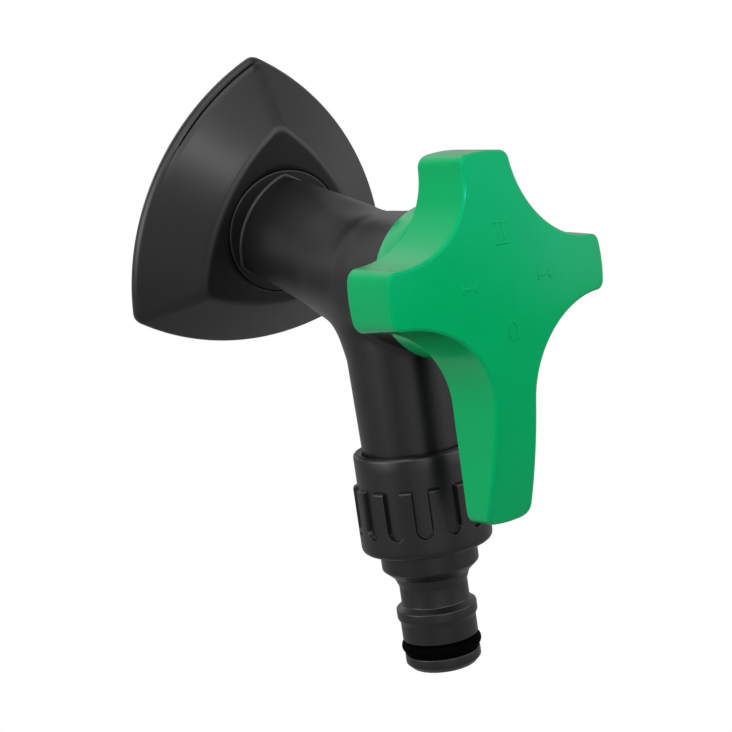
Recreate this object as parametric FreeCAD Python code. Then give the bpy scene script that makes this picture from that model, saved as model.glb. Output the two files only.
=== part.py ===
"""Garden tap: a moulded wall tap with a ceramic disc valve and a screwed-on hose connector.

Millimetres. The origin is on the inlet axis in the plane of the wall. +X is to the right for
someone facing the tap, +Y runs into the wall and +Z is up. The tap is symmetric about X = 0.

Three axes meet in the elbow point: the neck comes straight out of the wall, the spindle looks
forward and a little up, and the leg hangs at right angles to the spindle.
"""
import FreeCAD, Part
import os
from math import atan2, cos, degrees, pi, radians, sin, sqrt, tan

# Layout
AXIS_TILT = 13.8           # degrees the spindle looks up and the leg leans forward
ELBOW_REACH = 56.8         # wall to the point where the three axes meet

# Clearances
TURNING_GAP = 0.07         # radial, a round piece that turns in or on another
FACE_GAP = 0.03            # axial, between faces that slide over each other
SEAT_GAP = 0.02            # pieces that are pressed together and do not move apart
THREAD_GAP = 0.05          # radial, between a male thread's crest and its nut's wall

# Wall plate, a rounded triangle with one corner up
PLATE_CORNER = 36.4        # axis to the rounded tip of a corner
PLATE_SIDE = 28.1          # axis to the middle of a side
PLATE_FILLET = 3.0         # plan radius of the corners, rim and plateau alike
PLATE_RIM = 1.0            # height of the upright rim
PLATE_BAND = 1.3           # height of the bevelled band in front of the rim
PLATE_BAND_INSET = 0.7     # how far that band draws in
PLATE_HEIGHT = 13.0        # wall to the flat plateau
PLATEAU_CORNER = 22.6
PLATEAU_SIDE = 16.1
PLATEAU_EDGE = 0.8         # rounding between the slopes and the plateau
PLATE_WALL = 2.2
PLATE_RIB = 1.6
PLATE_BOSS_WALL = 2.4

# Neck with its round foot and three-cornered root
FOOT_RADIUS = 13.55        # round foot, let into the plate
FOOT_THICKNESS = 3.0
SHANK_RADIUS = 12.6        # round shank that passes through the plate
ROOT_HEIGHT = 0.9          # three-cornered root, proud of the plate
ROOT_CORNER = 12.6
ROOT_SIDE = 10.25
ROOT_FILLET = 1.0
ROOT_CHAMFER = 0.5
NECK_ROUND = 12.4          # radius where the neck has become round
NECK_DROP = 0.5            # how far its middle lies below the inlet axis there
BEND_INSIDE = 5.0          # inside radius of the bend between neck and leg

# Inlet
THREAD_RADIUS = 10.48      # half-inch pipe thread, 20.955 mm over the crests
INLET_LENGTH = 15.0        # thread that stands out of the wall plane
INLET_BORE = 6.0
RELIEF_RADIUS = 9.2        # plain stretch behind the thread, where the flat seal sits
RELIEF_END = 0.1           # the thread starts this far in front of the wall plane
SEAL_RECESS = 0.3          # wall plane to the flat seal
NIPPLE_ROOT_RADIUS = 9.0   # part of the nipple that is moulded into the foot
NIPPLE_ROOT_LENGTH = 10.4
NIPPLE_GROOVE = 0.8        # depth of the two grooves that lock it in the moulding
NIPPLE_GROOVE_WIDTH = 2.0
SHANK_BACK = 1.5           # wall plane to the shank's end, which carries the flat seal

# Valve housing, heights measured from the elbow point along the spindle
HOUSING_RADIUS = 13.4
HOUSING_FRONT = 22.0
SEAT_HEIGHT = -3.0
SEAT_PORT = 4.5
NECK_BORE = 6.4            # water way from the nipple to the seat
NECK_BORE_STOP = 6.2       # neck bore ends this far short of the elbow point

# Leg, lengths measured from the elbow point down the leg
LEG_TOP_RADIUS = 10.95
LEG_LOW_RADIUS = 10.55
LEG_SHOULDER = 36.5        # end of the smooth leg, inside the connector's collar
LEG_END = 50.5
LEG_BORE = 6.0
LEG_CHAMFER = 0.8

# Hose connector, lengths down the leg, and those of its nose from the grip's lower end
COLLAR_TOP = 33.8
COLLAR_EDGE = 0.7
GRIP_TOP = 40.5
GRIP_FLOOR = 3.7           # end of the leg to the grip's lower end
GRIP_EDGE = 1.7            # rounded lower edge of the grip
SLOT_COUNT = 14
SLOT_WIDTH = 3.3
SLOT_LENGTH = 9.6
SLOT_DEPTH = 0.9           # grip to the recess's floor, which is level with the collar
SLOT_PHASE = 5.4          # degrees from straight ahead to the nearest recess
THREAD_TOP = 41.4          # the connector's thread starts below its collar
WASHER_THICKNESS = 2.0
WASHER_HOLE = 5.6
FLANGE_RADIUS = 9.93
FLANGE_END = 4.2
NOSE_CONE_END = 6.1
NOSE_CONE_RADIUS = 7.8
NOSE_NECK_RADIUS = 7.0
NOSE_NECK_TOP = 8.1
RIDGE_RADIUS = 8.25
RIDGE_TOP = 11.9
RIDGE_UPPER_EDGE = 12.9
RIDGE_LOWER_EDGE = 14.7
BARREL_TOP = 15.7
BARREL_RADIUS = 7.75
RING_CENTRE = 20.9         # middle of the sealing ring's groove
RING_SECTION = 2.65
RING_OUTSIDE = 8.2
RING_ROOM = 0.2            # axial play of the ring in its groove, each side
NOSE_END = 25.4
NOSE_END_CHAMFER = 1.1
NOSE_BORE = 4.2

# Headwork and ceramic discs, heights along the spindle
SLEEVE_RADIUS = 8.95
SLEEVE_BORE = 8.3
SLEEVE_FOOT = -2.6
SLEEVE_THREAD_START = 9.0
HEX_ACROSS_FLATS = 21.0
HEX_HEIGHT = 2.6
WINDOW_WIDTH = 6.4
WINDOW_HEIGHT = 4.2
SEAL_LIP_TOP = 0.9
SEAL_LIP_HOLE = 5.3
SEAL_SUPPORT_FOOT = -2.4
SEAL_SUPPORT_WALL = 0.7
DISC_THICKNESS = 3.0
LUG_WIDTH = 3.0
LUG_RECESS = 0.1           # how far a lug stays inside the sleeve's outer wall
PORT_OUTER = 6.6
PORT_INNER = 1.6
PORT_SPAN = 160.0          # degrees
BONNET_RING_SECTION = 1.6
BONNET_RING_STEP = 0.6     # middle of the ring's section, outside the thread's crests
BONNET_RING_ROOM = 0.4     # spare length of its groove

# Spindle
FOOT_PLATE_THICKNESS = 2.4
STEM_RADIUS = 4.5
DOG_WIDTH = 2.4
DOG_LENGTH = 9.0
DOG_HEIGHT = 1.2
THRUST_THICKNESS = 1.0
THRUST_RADIUS = 7.9
STEM_RING_SECTION = 1.8
STEM_RING_ROOM = 0.1       # play of each ring in its groove, each side
STEM_RING_HEIGHTS = (14.0, 18.5)
CIRCLIP_THICKNESS = 0.8
CIRCLIP_RADIUS = 6.2
CIRCLIP_GROOVE = 3.7
CIRCLIP_GAP = 5.0
TANG_ACROSS_FLATS = 6.2
TANG_RADIUS = 4.1
TANG_START = 26.4
TANG_END = 35.0
CLIP_HEIGHT = 31.5         # middle of the groove for the handle's clip
CLIP_SECTION = 0.9
CLIP_DEPTH = 0.5
CLIP_GAP = 2.0

# Handle, heights along the spindle
HANDLE_FRONT = 40.7
HANDLE_DOME = 109.0
HANDLE_BACK = 25.0
HANDLE_DRAFT = 0.9         # how much the outline grows from front to back
SHORT_ARM = 23.1
SHORT_ARM_END_HALF = 5.1
HOLLOW_REACH = 13.95       # axis to the deepest point of the hollows between the arms
LONG_ARM = 44.9
LONG_ARM_WAIST = 22.3      # axis to where the hollows run out into the long arm
LONG_ARM_WAIST_HALF = 4.5
LONG_ARM_END_HALF = 4.6
ARM_END_BULGE = 0.5
ARM_CORNER = 1.5
HANDLE_EDGE = 0.6          # rounding of the front edge
HANDLE_WALL = 2.0
SKIRT_GAP = 0.4            # the skirt clears the housing all round
SKIRT_BACK = 19.2
SKIRT_WALL = 1.2
SKIRT_BLEND_TOP = 31.0
SKIRT_BLEND_RADIUS = 13.2
HUB_RADIUS = 6.6
HUB_BACK = 27.4
HANDLE_RIB = 1.4
HANDLE_RIB_BACK = 29.0

# Sizes worked out from the ones above
COUNTERBORE_DEPTH = FOOT_THICKNESS + FACE_GAP
NECK_START = PLATE_HEIGHT + ROOT_HEIGHT
BEND_RADIUS = BEND_INSIDE + NECK_ROUND
BEND_ANGLE = 90.0 - AXIS_TILT
BEND_TANGENT = BEND_RADIUS * tan(radians(BEND_ANGLE / 2))
FIXED_DISC_TOP = SEAL_LIP_TOP + DISC_THICKNESS
MOVING_DISC_FOOT = FIXED_DISC_TOP + FACE_GAP
MOVING_DISC_TOP = MOVING_DISC_FOOT + DISC_THICKNESS
STEM_FOOT = MOVING_DISC_TOP + SEAT_GAP
STEM_SHOULDER = STEM_FOOT + FOOT_PLATE_THICKNESS
THRUST_TOP = STEM_SHOULDER + FACE_GAP + THRUST_THICKNESS
SLEEVE_CEILING = THRUST_TOP + SEAT_GAP
HEX_TOP = HOUSING_FRONT + HEX_HEIGHT
GRIP_END = LEG_END + GRIP_FLOOR
GRIP_RADIUS = HOUSING_RADIUS
COLLAR_RADIUS = GRIP_RADIUS - SLOT_DEPTH
SKIRT_RADIUS = HOUSING_RADIUS + SKIRT_GAP + SKIRT_WALL
DISC_RADIUS = SLEEVE_BORE - TURNING_GAP
RING_MIDDLE_RADIUS = RING_OUTSIDE - RING_SECTION / 2
BONNET_RING_RADIUS = THREAD_RADIUS + BONNET_RING_STEP
ELBOW = FreeCAD.Vector(0, -ELBOW_REACH, 0)
VALVE_FRAME = FreeCAD.Placement(ELBOW, FreeCAD.Rotation(FreeCAD.Vector(1, 0, 0), 90 - AXIS_TILT))
LEG_FRAME = FreeCAD.Placement(ELBOW, FreeCAD.Rotation(FreeCAD.Vector(1, 0, 0), 180 - AXIS_TILT))
WALL_FRAME = FreeCAD.Placement(FreeCAD.Vector(), FreeCAD.Rotation(FreeCAD.Vector(1, 0, 0), 90))


# Small tools for shapes

def vec(x, y, z=0.0):
    return FreeCAD.Vector(x, y, z)


def placed(shape, frame):
    """Move a shape from a local frame, whose Z is its axis, into the tap's frame."""
    return shape.transformed(frame.toMatrix(), True)


def cylinder(radius, start, end):
    return Part.makeCylinder(radius, end - start, vec(0, 0, start))


def tube(outer, inner, start, end):
    return cylinder(outer, start, end).cut(cylinder(inner, start, end))


def box_between(low, high):
    size = high - low
    return Part.makeBox(size.x, size.y, size.z, low)


def turned(start, *steps):
    """Revolve an outline of (radius, height) points about Z.

    A step is a point for a straight line, or a pair (through, point) for an arc.
    """
    here = vec(start[0], 0, start[1])
    first = here
    edges = []
    for step in steps:
        if isinstance(step[0], tuple):
            middle, end = (vec(p[0], 0, p[1]) for p in step)
            edges.append(Part.Arc(here, middle, end).toShape())
        else:
            end = vec(step[0], 0, step[1])
            edges.append(Part.makeLine(here, end))
        here = end
    if here.distanceToPoint(first) > 1e-7:
        edges.append(Part.makeLine(here, first))
    face = Part.Face(Part.Wire(edges))
    return face.revolve(vec(0, 0), vec(0, 0, 1), 360)


def ring_of(middle_radius, section, height):
    """A round sealing ring about Z."""
    return Part.makeTorus(middle_radius, section / 2, vec(0, 0, height))


def polar(radius, angle, centre=(0.0, 0.0), height=0.0):
    a = radians(angle)
    return vec(centre[0] + radius * cos(a), centre[1] + radius * sin(a), height)


def arc(radius, start, end, centre, height):
    points = (polar(radius, a, centre, height) for a in (start, (start + end) / 2, end))
    return Part.Arc(*points).toShape()


def one_solid(shape):
    """Merge split faces and hand back the single solid."""
    shape = shape.removeSplitter()
    if len(shape.Solids) != 1:
        raise ValueError("expected one solid, found %d" % len(shape.Solids))
    return shape.Solids[0]


def edges_where(shape, test):
    return [edge for edge in shape.Edges if test(edge)]


# The three-cornered outline that the plate and the neck share

SIDES = (-90, 30, 150)     # directions of the three sides' middles, in degrees
HALF_SIDE = degrees(pi / 3)


def side_arc(corner, side, fillet):
    """How far behind the axis a side arc has its centre, and half the angle that it spans."""
    reach = corner - fillet
    flat = side - fillet
    pull = (reach ** 2 - flat ** 2) / (2 * flat - reach)
    turn = radians(HALF_SIDE)
    half = degrees(atan2(reach * sin(turn), reach * cos(turn) + pull))
    return pull, half


def three_corners(corner, side, fillet, height):
    """A closed outline of three long arcs and three corner arcs, one corner towards +Y."""
    pull, half = side_arc(corner, side, fillet)
    edges = []
    for middle in SIDES:
        back = polar(-pull, middle)
        tip = polar(corner - fillet, middle + HALF_SIDE)
        edges.append(arc(side + pull, middle - half, middle + half, (back.x, back.y), height))
        edges.append(arc(fillet, middle + half, middle + 2 * HALF_SIDE - half, (tip.x, tip.y), height))
    return Part.Wire(edges)


def round_outline(radius, height, corner, side, fillet):
    """A circle split where the three-cornered outline of these sizes has its joints."""
    half = side_arc(corner, side, fillet)[1]
    edges = []
    for middle in SIDES:
        edges.append(arc(radius, middle - half, middle + half, (0, 0), height))
        edges.append(arc(radius, middle + half, middle + 2 * HALF_SIDE - half, (0, 0), height))
    return Part.Wire(edges)


def prism(wire, height):
    return Part.Face(wire).extrude(vec(0, 0, height))


# Wall plate, drawn with Z away from the wall

def plate_loft(inset, foot, top):
    """The sloping body between two heights, its outline drawn in by the inset."""
    start = PLATE_RIM + PLATE_BAND
    rise = PLATE_HEIGHT - start
    wires = []
    for height in (foot, top):
        share = (height - start) / rise
        corner = PLATE_CORNER - PLATE_BAND_INSET
        side = PLATE_SIDE - PLATE_BAND_INSET
        corner += (PLATEAU_CORNER - corner) * share - inset
        side += (PLATEAU_SIDE - side) * share - inset
        wires.append(three_corners(corner, side, PLATE_FILLET, height))
    return Part.makeLoft(wires, True, True)


def plate_outside():
    band_top = PLATE_RIM + PLATE_BAND
    rim = prism(three_corners(PLATE_CORNER, PLATE_SIDE, PLATE_FILLET, 0), PLATE_RIM)
    wide = three_corners(PLATE_CORNER, PLATE_SIDE, PLATE_FILLET, PLATE_RIM)
    narrow = three_corners(PLATE_CORNER - PLATE_BAND_INSET, PLATE_SIDE - PLATE_BAND_INSET,
                           PLATE_FILLET, band_top)
    band = Part.makeLoft([wide, narrow], True, True)
    slopes = plate_loft(0, band_top, PLATE_HEIGHT)
    plateau = edges_where(slopes, lambda e: e.BoundBox.ZMin > PLATE_HEIGHT - 0.01)
    return rim.fuse([band, slopes.makeFillet(PLATEAU_EDGE, plateau)])


def plate_hollow():
    band_top = PLATE_RIM + PLATE_BAND
    inset = PLATE_BAND_INSET + PLATE_WALL
    opening = three_corners(PLATE_CORNER - inset, PLATE_SIDE - inset, PLATE_FILLET, 0)
    hollow = prism(opening, band_top)
    return hollow.fuse(plate_loft(PLATE_WALL, band_top, PLATE_HEIGHT - PLATE_WALL))


def wall_plate():
    counterbore = FOOT_RADIUS + TURNING_GAP
    boss = cylinder(counterbore + PLATE_BOSS_WALL, 0, PLATE_HEIGHT - PLATE_WALL / 2)
    ribs = [plate_rib(side + HALF_SIDE) for side in SIDES]
    shell = plate_outside().cut(plate_hollow()).fuse([boss] + ribs)
    shell = shell.cut(cylinder(SHANK_RADIUS + TURNING_GAP, -1, PLATE_HEIGHT + 1))
    shell = shell.cut(cylinder(counterbore, PLATE_HEIGHT - COUNTERBORE_DEPTH, PLATE_HEIGHT + 1))
    return placed(one_solid(shell), WALL_FRAME)


def plate_rib(corner):
    """A web under the plate from the boss towards one corner."""
    half = PLATE_RIB / 2
    web = box_between(vec(SHANK_RADIUS + 1, -half, PLATE_RIM), vec(PLATE_CORNER, half, PLATE_HEIGHT))
    web.rotate(vec(0, 0), vec(0, 0, 1), corner)
    return web.common(plate_loft(PLATE_WALL / 2, PLATE_RIM, PLATE_HEIGHT - PLATE_WALL / 2))


# Tap body: foot, neck, bend, valve housing and leg in one moulding

def neck_solid():
    """From the three-cornered root to the round section where the bend starts."""
    end = ELBOW_REACH - BEND_TANGENT
    wires = []
    for share in (0.0, 0.35, 0.7):
        grown = [a + (NECK_ROUND - a) * share for a in (ROOT_CORNER, ROOT_SIDE, ROOT_FILLET)]
        wires.append(three_corners(*grown, NECK_START + (end - NECK_START) * share))
    rounded = round_outline(NECK_ROUND, end, ROOT_CORNER, ROOT_SIDE, ROOT_FILLET)
    rounded.translate(vec(0, -NECK_DROP, 0))
    return Part.makeLoft(wires + [rounded], True, False)


def root_solid():
    """The low three-cornered step on the round foot, with a chamfered edge."""
    top = NECK_START - ROOT_CHAMFER
    lower = three_corners(ROOT_CORNER + ROOT_CHAMFER, ROOT_SIDE + ROOT_CHAMFER,
                          ROOT_FILLET + ROOT_CHAMFER, PLATE_HEIGHT)
    middle = lower.copy()
    middle.translate(vec(0, 0, top - PLATE_HEIGHT))
    upper = three_corners(ROOT_CORNER, ROOT_SIDE, ROOT_FILLET, NECK_START)
    step = prism(lower, top - PLATE_HEIGHT)
    return step.fuse(Part.makeLoft([middle, upper], True, True))


def bend_solid():
    """The bent tube between neck and leg, through circles about the bend's centre."""
    start = ELBOW_REACH - BEND_TANGENT
    steps = 6
    wires = []
    for step in range(steps + 1):
        share = step / steps
        turn = radians(BEND_ANGLE * share)
        radius = NECK_ROUND + (LEG_TOP_RADIUS - NECK_ROUND) * share
        drop = NECK_DROP * (1 - share) + BEND_RADIUS * (1 - cos(turn))
        centre = vec(0, -drop, start + BEND_RADIUS * sin(turn))
        along = vec(0, -sin(turn), cos(turn))
        circle = Part.Circle(centre, along, radius)
        wires.append(Part.Wire(circle.toShape()))
    return Part.makeLoft(wires, True, False)


def housing_solid():
    """A round barrel about the spindle with a ball-shaped back, in the valve frame."""
    ball = Part.makeSphere(HOUSING_RADIUS)
    return ball.fuse(cylinder(HOUSING_RADIUS, 0, HOUSING_FRONT))


def leg_solid():
    """The tapered leg and its outlet thread, in the leg frame."""
    return turned((0, BEND_TANGENT - 1), (LEG_TOP_RADIUS, BEND_TANGENT - 1), (LEG_TOP_RADIUS, BEND_TANGENT),
                  (LEG_LOW_RADIUS, COLLAR_TOP), (LEG_LOW_RADIUS, LEG_SHOULDER),
                  (THREAD_RADIUS, LEG_SHOULDER), (THREAD_RADIUS, LEG_END - LEG_CHAMFER),
                  (THREAD_RADIUS - LEG_CHAMFER, LEG_END), (0, LEG_END))


def nipple_outline(gap):
    """Root of the inlet nipple with its two locking grooves, Z away from the wall."""
    radius = NIPPLE_ROOT_RADIUS + gap
    groove = radius - NIPPLE_GROOVE
    points = [(radius, SHANK_BACK)]
    for share in (0.3, 0.65):
        start = SHANK_BACK + NIPPLE_ROOT_LENGTH * share
        points += [(radius, start), (groove, start + gap)]
        points += [(groove, start + NIPPLE_GROOVE_WIDTH - gap), (radius, start + NIPPLE_GROOVE_WIDTH)]
    end = SHANK_BACK + NIPPLE_ROOT_LENGTH + gap
    return points + [(radius, end)], end


def tap_body():
    outside = cylinder(SHANK_RADIUS, SHANK_BACK, PLATE_HEIGHT)
    outside = outside.fuse(cylinder(FOOT_RADIUS, PLATE_HEIGHT - FOOT_THICKNESS, PLATE_HEIGHT))
    outside = outside.fuse([root_solid(), neck_solid(), bend_solid()])
    outside = placed(outside, WALL_FRAME)
    outside = outside.fuse([placed(housing_solid(), VALVE_FRAME), placed(leg_solid(), LEG_FRAME)])

    points, nipple_end = nipple_outline(0.0)
    socket = turned((0, SHANK_BACK - 1), (points[0][0], SHANK_BACK - 1), *points, (0, nipple_end))
    neck_bore = cylinder(NECK_BORE, nipple_end - 1, ELBOW_REACH - NECK_BORE_STOP)
    inlet = placed(socket.fuse(neck_bore), WALL_FRAME)

    chamber = cylinder(THREAD_RADIUS + THREAD_GAP, SEAT_HEIGHT, HOUSING_FRONT + 1)
    ring_seat = BONNET_RING_RADIUS + BONNET_RING_SECTION / 2 + SEAT_GAP
    chamber = chamber.fuse(cylinder(ring_seat, HOUSING_FRONT - BONNET_RING_SECTION, HOUSING_FRONT + 1))
    chamber = chamber.fuse(cylinder(SEAT_PORT, SEAT_HEIGHT - NECK_BORE_STOP, SEAT_HEIGHT))
    chamber = placed(chamber, VALVE_FRAME)

    outlet = cylinder(LEG_BORE, THREAD_RADIUS - 1, LEG_END + 1)
    return one_solid(outside.cut([inlet, chamber, placed(outlet, LEG_FRAME)]))


# Inlet

def inlet_nipple():
    """Threaded nipple whose grooved root is moulded into the foot of the body."""
    points, end = nipple_outline(0.0)
    chamfer = LEG_CHAMFER
    solid = turned((INLET_BORE, -INLET_LENGTH), (THREAD_RADIUS - chamfer, -INLET_LENGTH),
                   (THREAD_RADIUS, chamfer - INLET_LENGTH), (THREAD_RADIUS, RELIEF_END),
                   (RELIEF_RADIUS, RELIEF_END), (RELIEF_RADIUS, SHANK_BACK), *points, (INLET_BORE, end))
    return placed(solid, WALL_FRAME)


def inlet_seal():
    return placed(tube(SHANK_RADIUS, RELIEF_RADIUS + SEAT_GAP, SEAL_RECESS, SHANK_BACK), WALL_FRAME)


# Hose connector, in the leg frame

def grip_recess():
    """One recess of the grip: open at the top, round at the bottom, floor level with the collar."""
    half = SLOT_WIDTH / 2
    reach = GRIP_RADIUS + 1
    low = GRIP_TOP + SLOT_LENGTH - half
    straight = box_between(vec(-half, 0, GRIP_TOP - 1), vec(half, reach, low))
    recess = straight.fuse(Part.makeCylinder(half, reach, vec(0, 0, low), vec(0, 1, 0)))
    return recess.cut(cylinder(COLLAR_RADIUS, GRIP_TOP - 2, GRIP_END))


def connector_outside():
    bend = GRIP_EDGE * (1 - sqrt(0.5))
    half_groove = RING_SECTION / 2 + RING_ROOM
    groove = RING_MIDDLE_RADIUS - RING_SECTION / 2 - SEAT_GAP
    nose = [(FLANGE_RADIUS, 0), (FLANGE_RADIUS, FLANGE_END), (NOSE_CONE_RADIUS, NOSE_CONE_END),
            (NOSE_NECK_RADIUS, NOSE_NECK_TOP), (NOSE_NECK_RADIUS, RIDGE_TOP),
            (RIDGE_RADIUS, RIDGE_UPPER_EDGE), (RIDGE_RADIUS, RIDGE_LOWER_EDGE),
            (BARREL_RADIUS, BARREL_TOP), (BARREL_RADIUS, RING_CENTRE - half_groove),
            (groove, RING_CENTRE - half_groove), (groove, RING_CENTRE + half_groove),
            (BARREL_RADIUS, RING_CENTRE + half_groove), (BARREL_RADIUS, NOSE_END - NOSE_END_CHAMFER),
            (BARREL_RADIUS - NOSE_END_CHAMFER, NOSE_END), (0, NOSE_END)]
    return turned((0, COLLAR_TOP), (COLLAR_RADIUS - COLLAR_EDGE, COLLAR_TOP),
                  (COLLAR_RADIUS, COLLAR_TOP + COLLAR_EDGE), (COLLAR_RADIUS, GRIP_TOP),
                  (GRIP_RADIUS, GRIP_TOP), (GRIP_RADIUS, GRIP_END - GRIP_EDGE),
                  ((GRIP_RADIUS - bend, GRIP_END - bend), (GRIP_RADIUS - GRIP_EDGE, GRIP_END)),
                  *[(radius, GRIP_END + height) for radius, height in nose])


def hose_connector():
    recesses = []
    for number in range(SLOT_COUNT):
        recess = grip_recess()
        recess.rotate(vec(0, 0), vec(0, 0, 1), SLOT_PHASE + 360 * number / SLOT_COUNT)
        recesses.append(recess)
    floor = LEG_END + WASHER_THICKNESS
    inside = cylinder(LEG_LOW_RADIUS + 2 * TURNING_GAP, COLLAR_TOP - 1, THREAD_TOP)
    inside = inside.fuse(cylinder(THREAD_RADIUS + THREAD_GAP, THREAD_TOP - 1, floor))
    inside = inside.fuse(cylinder(NOSE_BORE, floor - 1, GRIP_END + NOSE_END + 1))
    return placed(one_solid(connector_outside().cut(recesses).cut(inside)), LEG_FRAME)


def connector_washer():
    return placed(tube(THREAD_RADIUS, WASHER_HOLE, LEG_END, LEG_END + WASHER_THICKNESS), LEG_FRAME)


def nose_ring():
    return placed(ring_of(RING_MIDDLE_RADIUS, RING_SECTION, GRIP_END + RING_CENTRE), LEG_FRAME)


# Headwork, in the valve frame

def headwork_body():
    """Screwed sleeve that holds the discs and carries the spindle."""
    relief = BONNET_RING_RADIUS - BONNET_RING_SECTION / 2 - SEAT_GAP
    relief_start = HOUSING_FRONT - BONNET_RING_SECTION - BONNET_RING_ROOM
    sleeve = turned((SLEEVE_BORE, SLEEVE_FOOT), (SLEEVE_RADIUS, SLEEVE_FOOT),
                    (SLEEVE_RADIUS, SLEEVE_THREAD_START), (THREAD_RADIUS, SLEEVE_THREAD_START + 1),
                    (THREAD_RADIUS, relief_start), (relief, relief_start), (relief, HOUSING_FRONT),
                    (HEX_ACROSS_FLATS / 2, HOUSING_FRONT), (HEX_ACROSS_FLATS / 2, HEX_TOP),
                    (STEM_RADIUS + TURNING_GAP, HEX_TOP), (STEM_RADIUS + TURNING_GAP, SLEEVE_CEILING),
                    (SLEEVE_BORE, SLEEVE_CEILING))
    sleeve = sleeve.fuse(hexagon(HEX_ACROSS_FLATS, HOUSING_FRONT, HEX_TOP).cut(
        cylinder(STEM_RADIUS + TURNING_GAP, HOUSING_FRONT, HEX_TOP)))
    for turn in (0, 90):
        window = box_between(vec(-SLEEVE_RADIUS - 1, -WINDOW_WIDTH / 2, MOVING_DISC_TOP - WINDOW_HEIGHT / 2),
                             vec(SLEEVE_RADIUS + 1, WINDOW_WIDTH / 2, MOVING_DISC_TOP + WINDOW_HEIGHT / 2))
        window.rotate(vec(0, 0), vec(0, 0, 1), turn + 45)
        sleeve = sleeve.cut(window)
    sleeve = sleeve.cut(lugs(SLEEVE_RADIUS + 1, SEAT_GAP, SLEEVE_FOOT - 1, FIXED_DISC_TOP))
    return placed(one_solid(sleeve), VALVE_FRAME)


def hexagon(across_flats, start, end):
    radius = across_flats / 2 / cos(radians(30))
    points = [polar(radius, 60 * corner, height=start) for corner in range(7)]
    return Part.Face(Part.makePolygon(points)).extrude(vec(0, 0, end - start))


def headwork_ring():
    height = HOUSING_FRONT - BONNET_RING_SECTION / 2
    return placed(ring_of(BONNET_RING_RADIUS, BONNET_RING_SECTION, height), VALVE_FRAME)


def half_moon(inner, outer, start, end, middle):
    """The solid that a half-moon port takes out, centred on the angle given."""
    first = middle - PORT_SPAN / 2
    last = middle + PORT_SPAN / 2
    edges = [arc(outer, first, last, (0, 0), start), Part.makeLine(polar(outer, last, height=start),
             polar(inner, last, height=start)), arc(inner, last, first, (0, 0), start),
             Part.makeLine(polar(inner, first, height=start), polar(outer, first, height=start))]
    return Part.Face(Part.Wire(edges)).extrude(vec(0, 0, end - start))


def seat_seal():
    return placed(tube(SLEEVE_BORE - SEAT_GAP, SEAL_LIP_HOLE, SEAT_HEIGHT, SEAL_LIP_TOP), VALVE_FRAME)


def seal_support():
    outer = SEAL_LIP_HOLE - SEAT_GAP
    ring = tube(outer, outer - SEAL_SUPPORT_WALL, SEAL_SUPPORT_FOOT, SEAL_LIP_TOP)
    return placed(ring, VALVE_FRAME)


def lugs(reach, gap, start, end):
    """The two lugs that key the fixed disc in the sleeve, or with a gap the notches for them."""
    half = LUG_WIDTH / 2 + gap
    bar = box_between(vec(-reach, -half, start), vec(reach, half, end))
    return bar.common(cylinder(reach, start, end))


def fixed_disc():
    """The lower ceramic disc: its port faces down and two lugs keep it from turning."""
    disc = cylinder(SLEEVE_BORE - SEAT_GAP, SEAL_LIP_TOP, FIXED_DISC_TOP)
    disc = disc.fuse(lugs(SLEEVE_RADIUS - LUG_RECESS, 0, SEAL_LIP_TOP, FIXED_DISC_TOP))
    disc = disc.cut(half_moon(PORT_INNER, PORT_OUTER, SEAL_LIP_TOP - 1, FIXED_DISC_TOP + 1, -90))
    return placed(one_solid(disc), VALVE_FRAME)


def dog(gap, low, high):
    """The spindle's drive tongue, or with a gap the slot for it."""
    length = DOG_LENGTH / 2 + gap
    width = DOG_WIDTH / 2 + gap
    return box_between(vec(-length, -width, low), vec(length, width, high))


def moving_disc():
    """The upper ceramic disc: its port faces up, away from the lower one, so the tap is shut."""
    disc = cylinder(DISC_RADIUS, MOVING_DISC_FOOT, MOVING_DISC_TOP)
    disc = disc.cut(half_moon(PORT_INNER + DOG_WIDTH, PORT_OUTER, MOVING_DISC_FOOT - 1, MOVING_DISC_TOP + 1, 90))
    slot = dog(SEAT_GAP, MOVING_DISC_TOP - DOG_HEIGHT, MOVING_DISC_TOP + 1)
    return placed(one_solid(disc.cut(slot)), VALVE_FRAME)


def spindle():
    plate = cylinder(DISC_RADIUS - SEAT_GAP, STEM_FOOT, STEM_SHOULDER)
    plate = plate.cut(half_moon(STEM_RADIUS, SLEEVE_RADIUS, STEM_FOOT - 1, STEM_SHOULDER + 1, 90))
    clip_top = HEX_TOP + FACE_GAP + CIRCLIP_THICKNESS
    stem = cylinder(STEM_RADIUS, STEM_FOOT, TANG_START)
    for height in STEM_RING_HEIGHTS:
        half = STEM_RING_SECTION / 2 + STEM_RING_ROOM
        groove = STEM_RADIUS + TURNING_GAP - STEM_RING_SECTION
        stem = stem.cut(tube(STEM_RADIUS + 1, groove, height - half, height + half))
    stem = stem.cut(tube(STEM_RADIUS + 1, CIRCLIP_GROOVE, HEX_TOP + FACE_GAP, clip_top))
    flats = TANG_ACROSS_FLATS / 2
    tang = box_between(vec(-flats, -flats, TANG_START - 0.5), vec(flats, flats, TANG_END))
    tang = tang.common(cylinder(TANG_RADIUS, TANG_START - 0.5, TANG_END))
    half = CLIP_SECTION / 2
    clip_root = flats - CLIP_DEPTH
    tang = tang.cut(tube(TANG_RADIUS + 1, clip_root, CLIP_HEIGHT - half, CLIP_HEIGHT + half))
    key = dog(0, MOVING_DISC_TOP - DOG_HEIGHT + SEAT_GAP, STEM_FOOT + 1)
    return placed(one_solid(plate.fuse([stem, tang, key])), VALVE_FRAME)


def spindle_rings():
    """Two round seals in the stem's grooves, as two solids."""
    radius = STEM_RADIUS + TURNING_GAP - STEM_RING_SECTION / 2
    rings = [ring_of(radius, STEM_RING_SECTION - 2 * SEAT_GAP, height) for height in STEM_RING_HEIGHTS]
    return placed(Part.makeCompound(rings), VALVE_FRAME)


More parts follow.
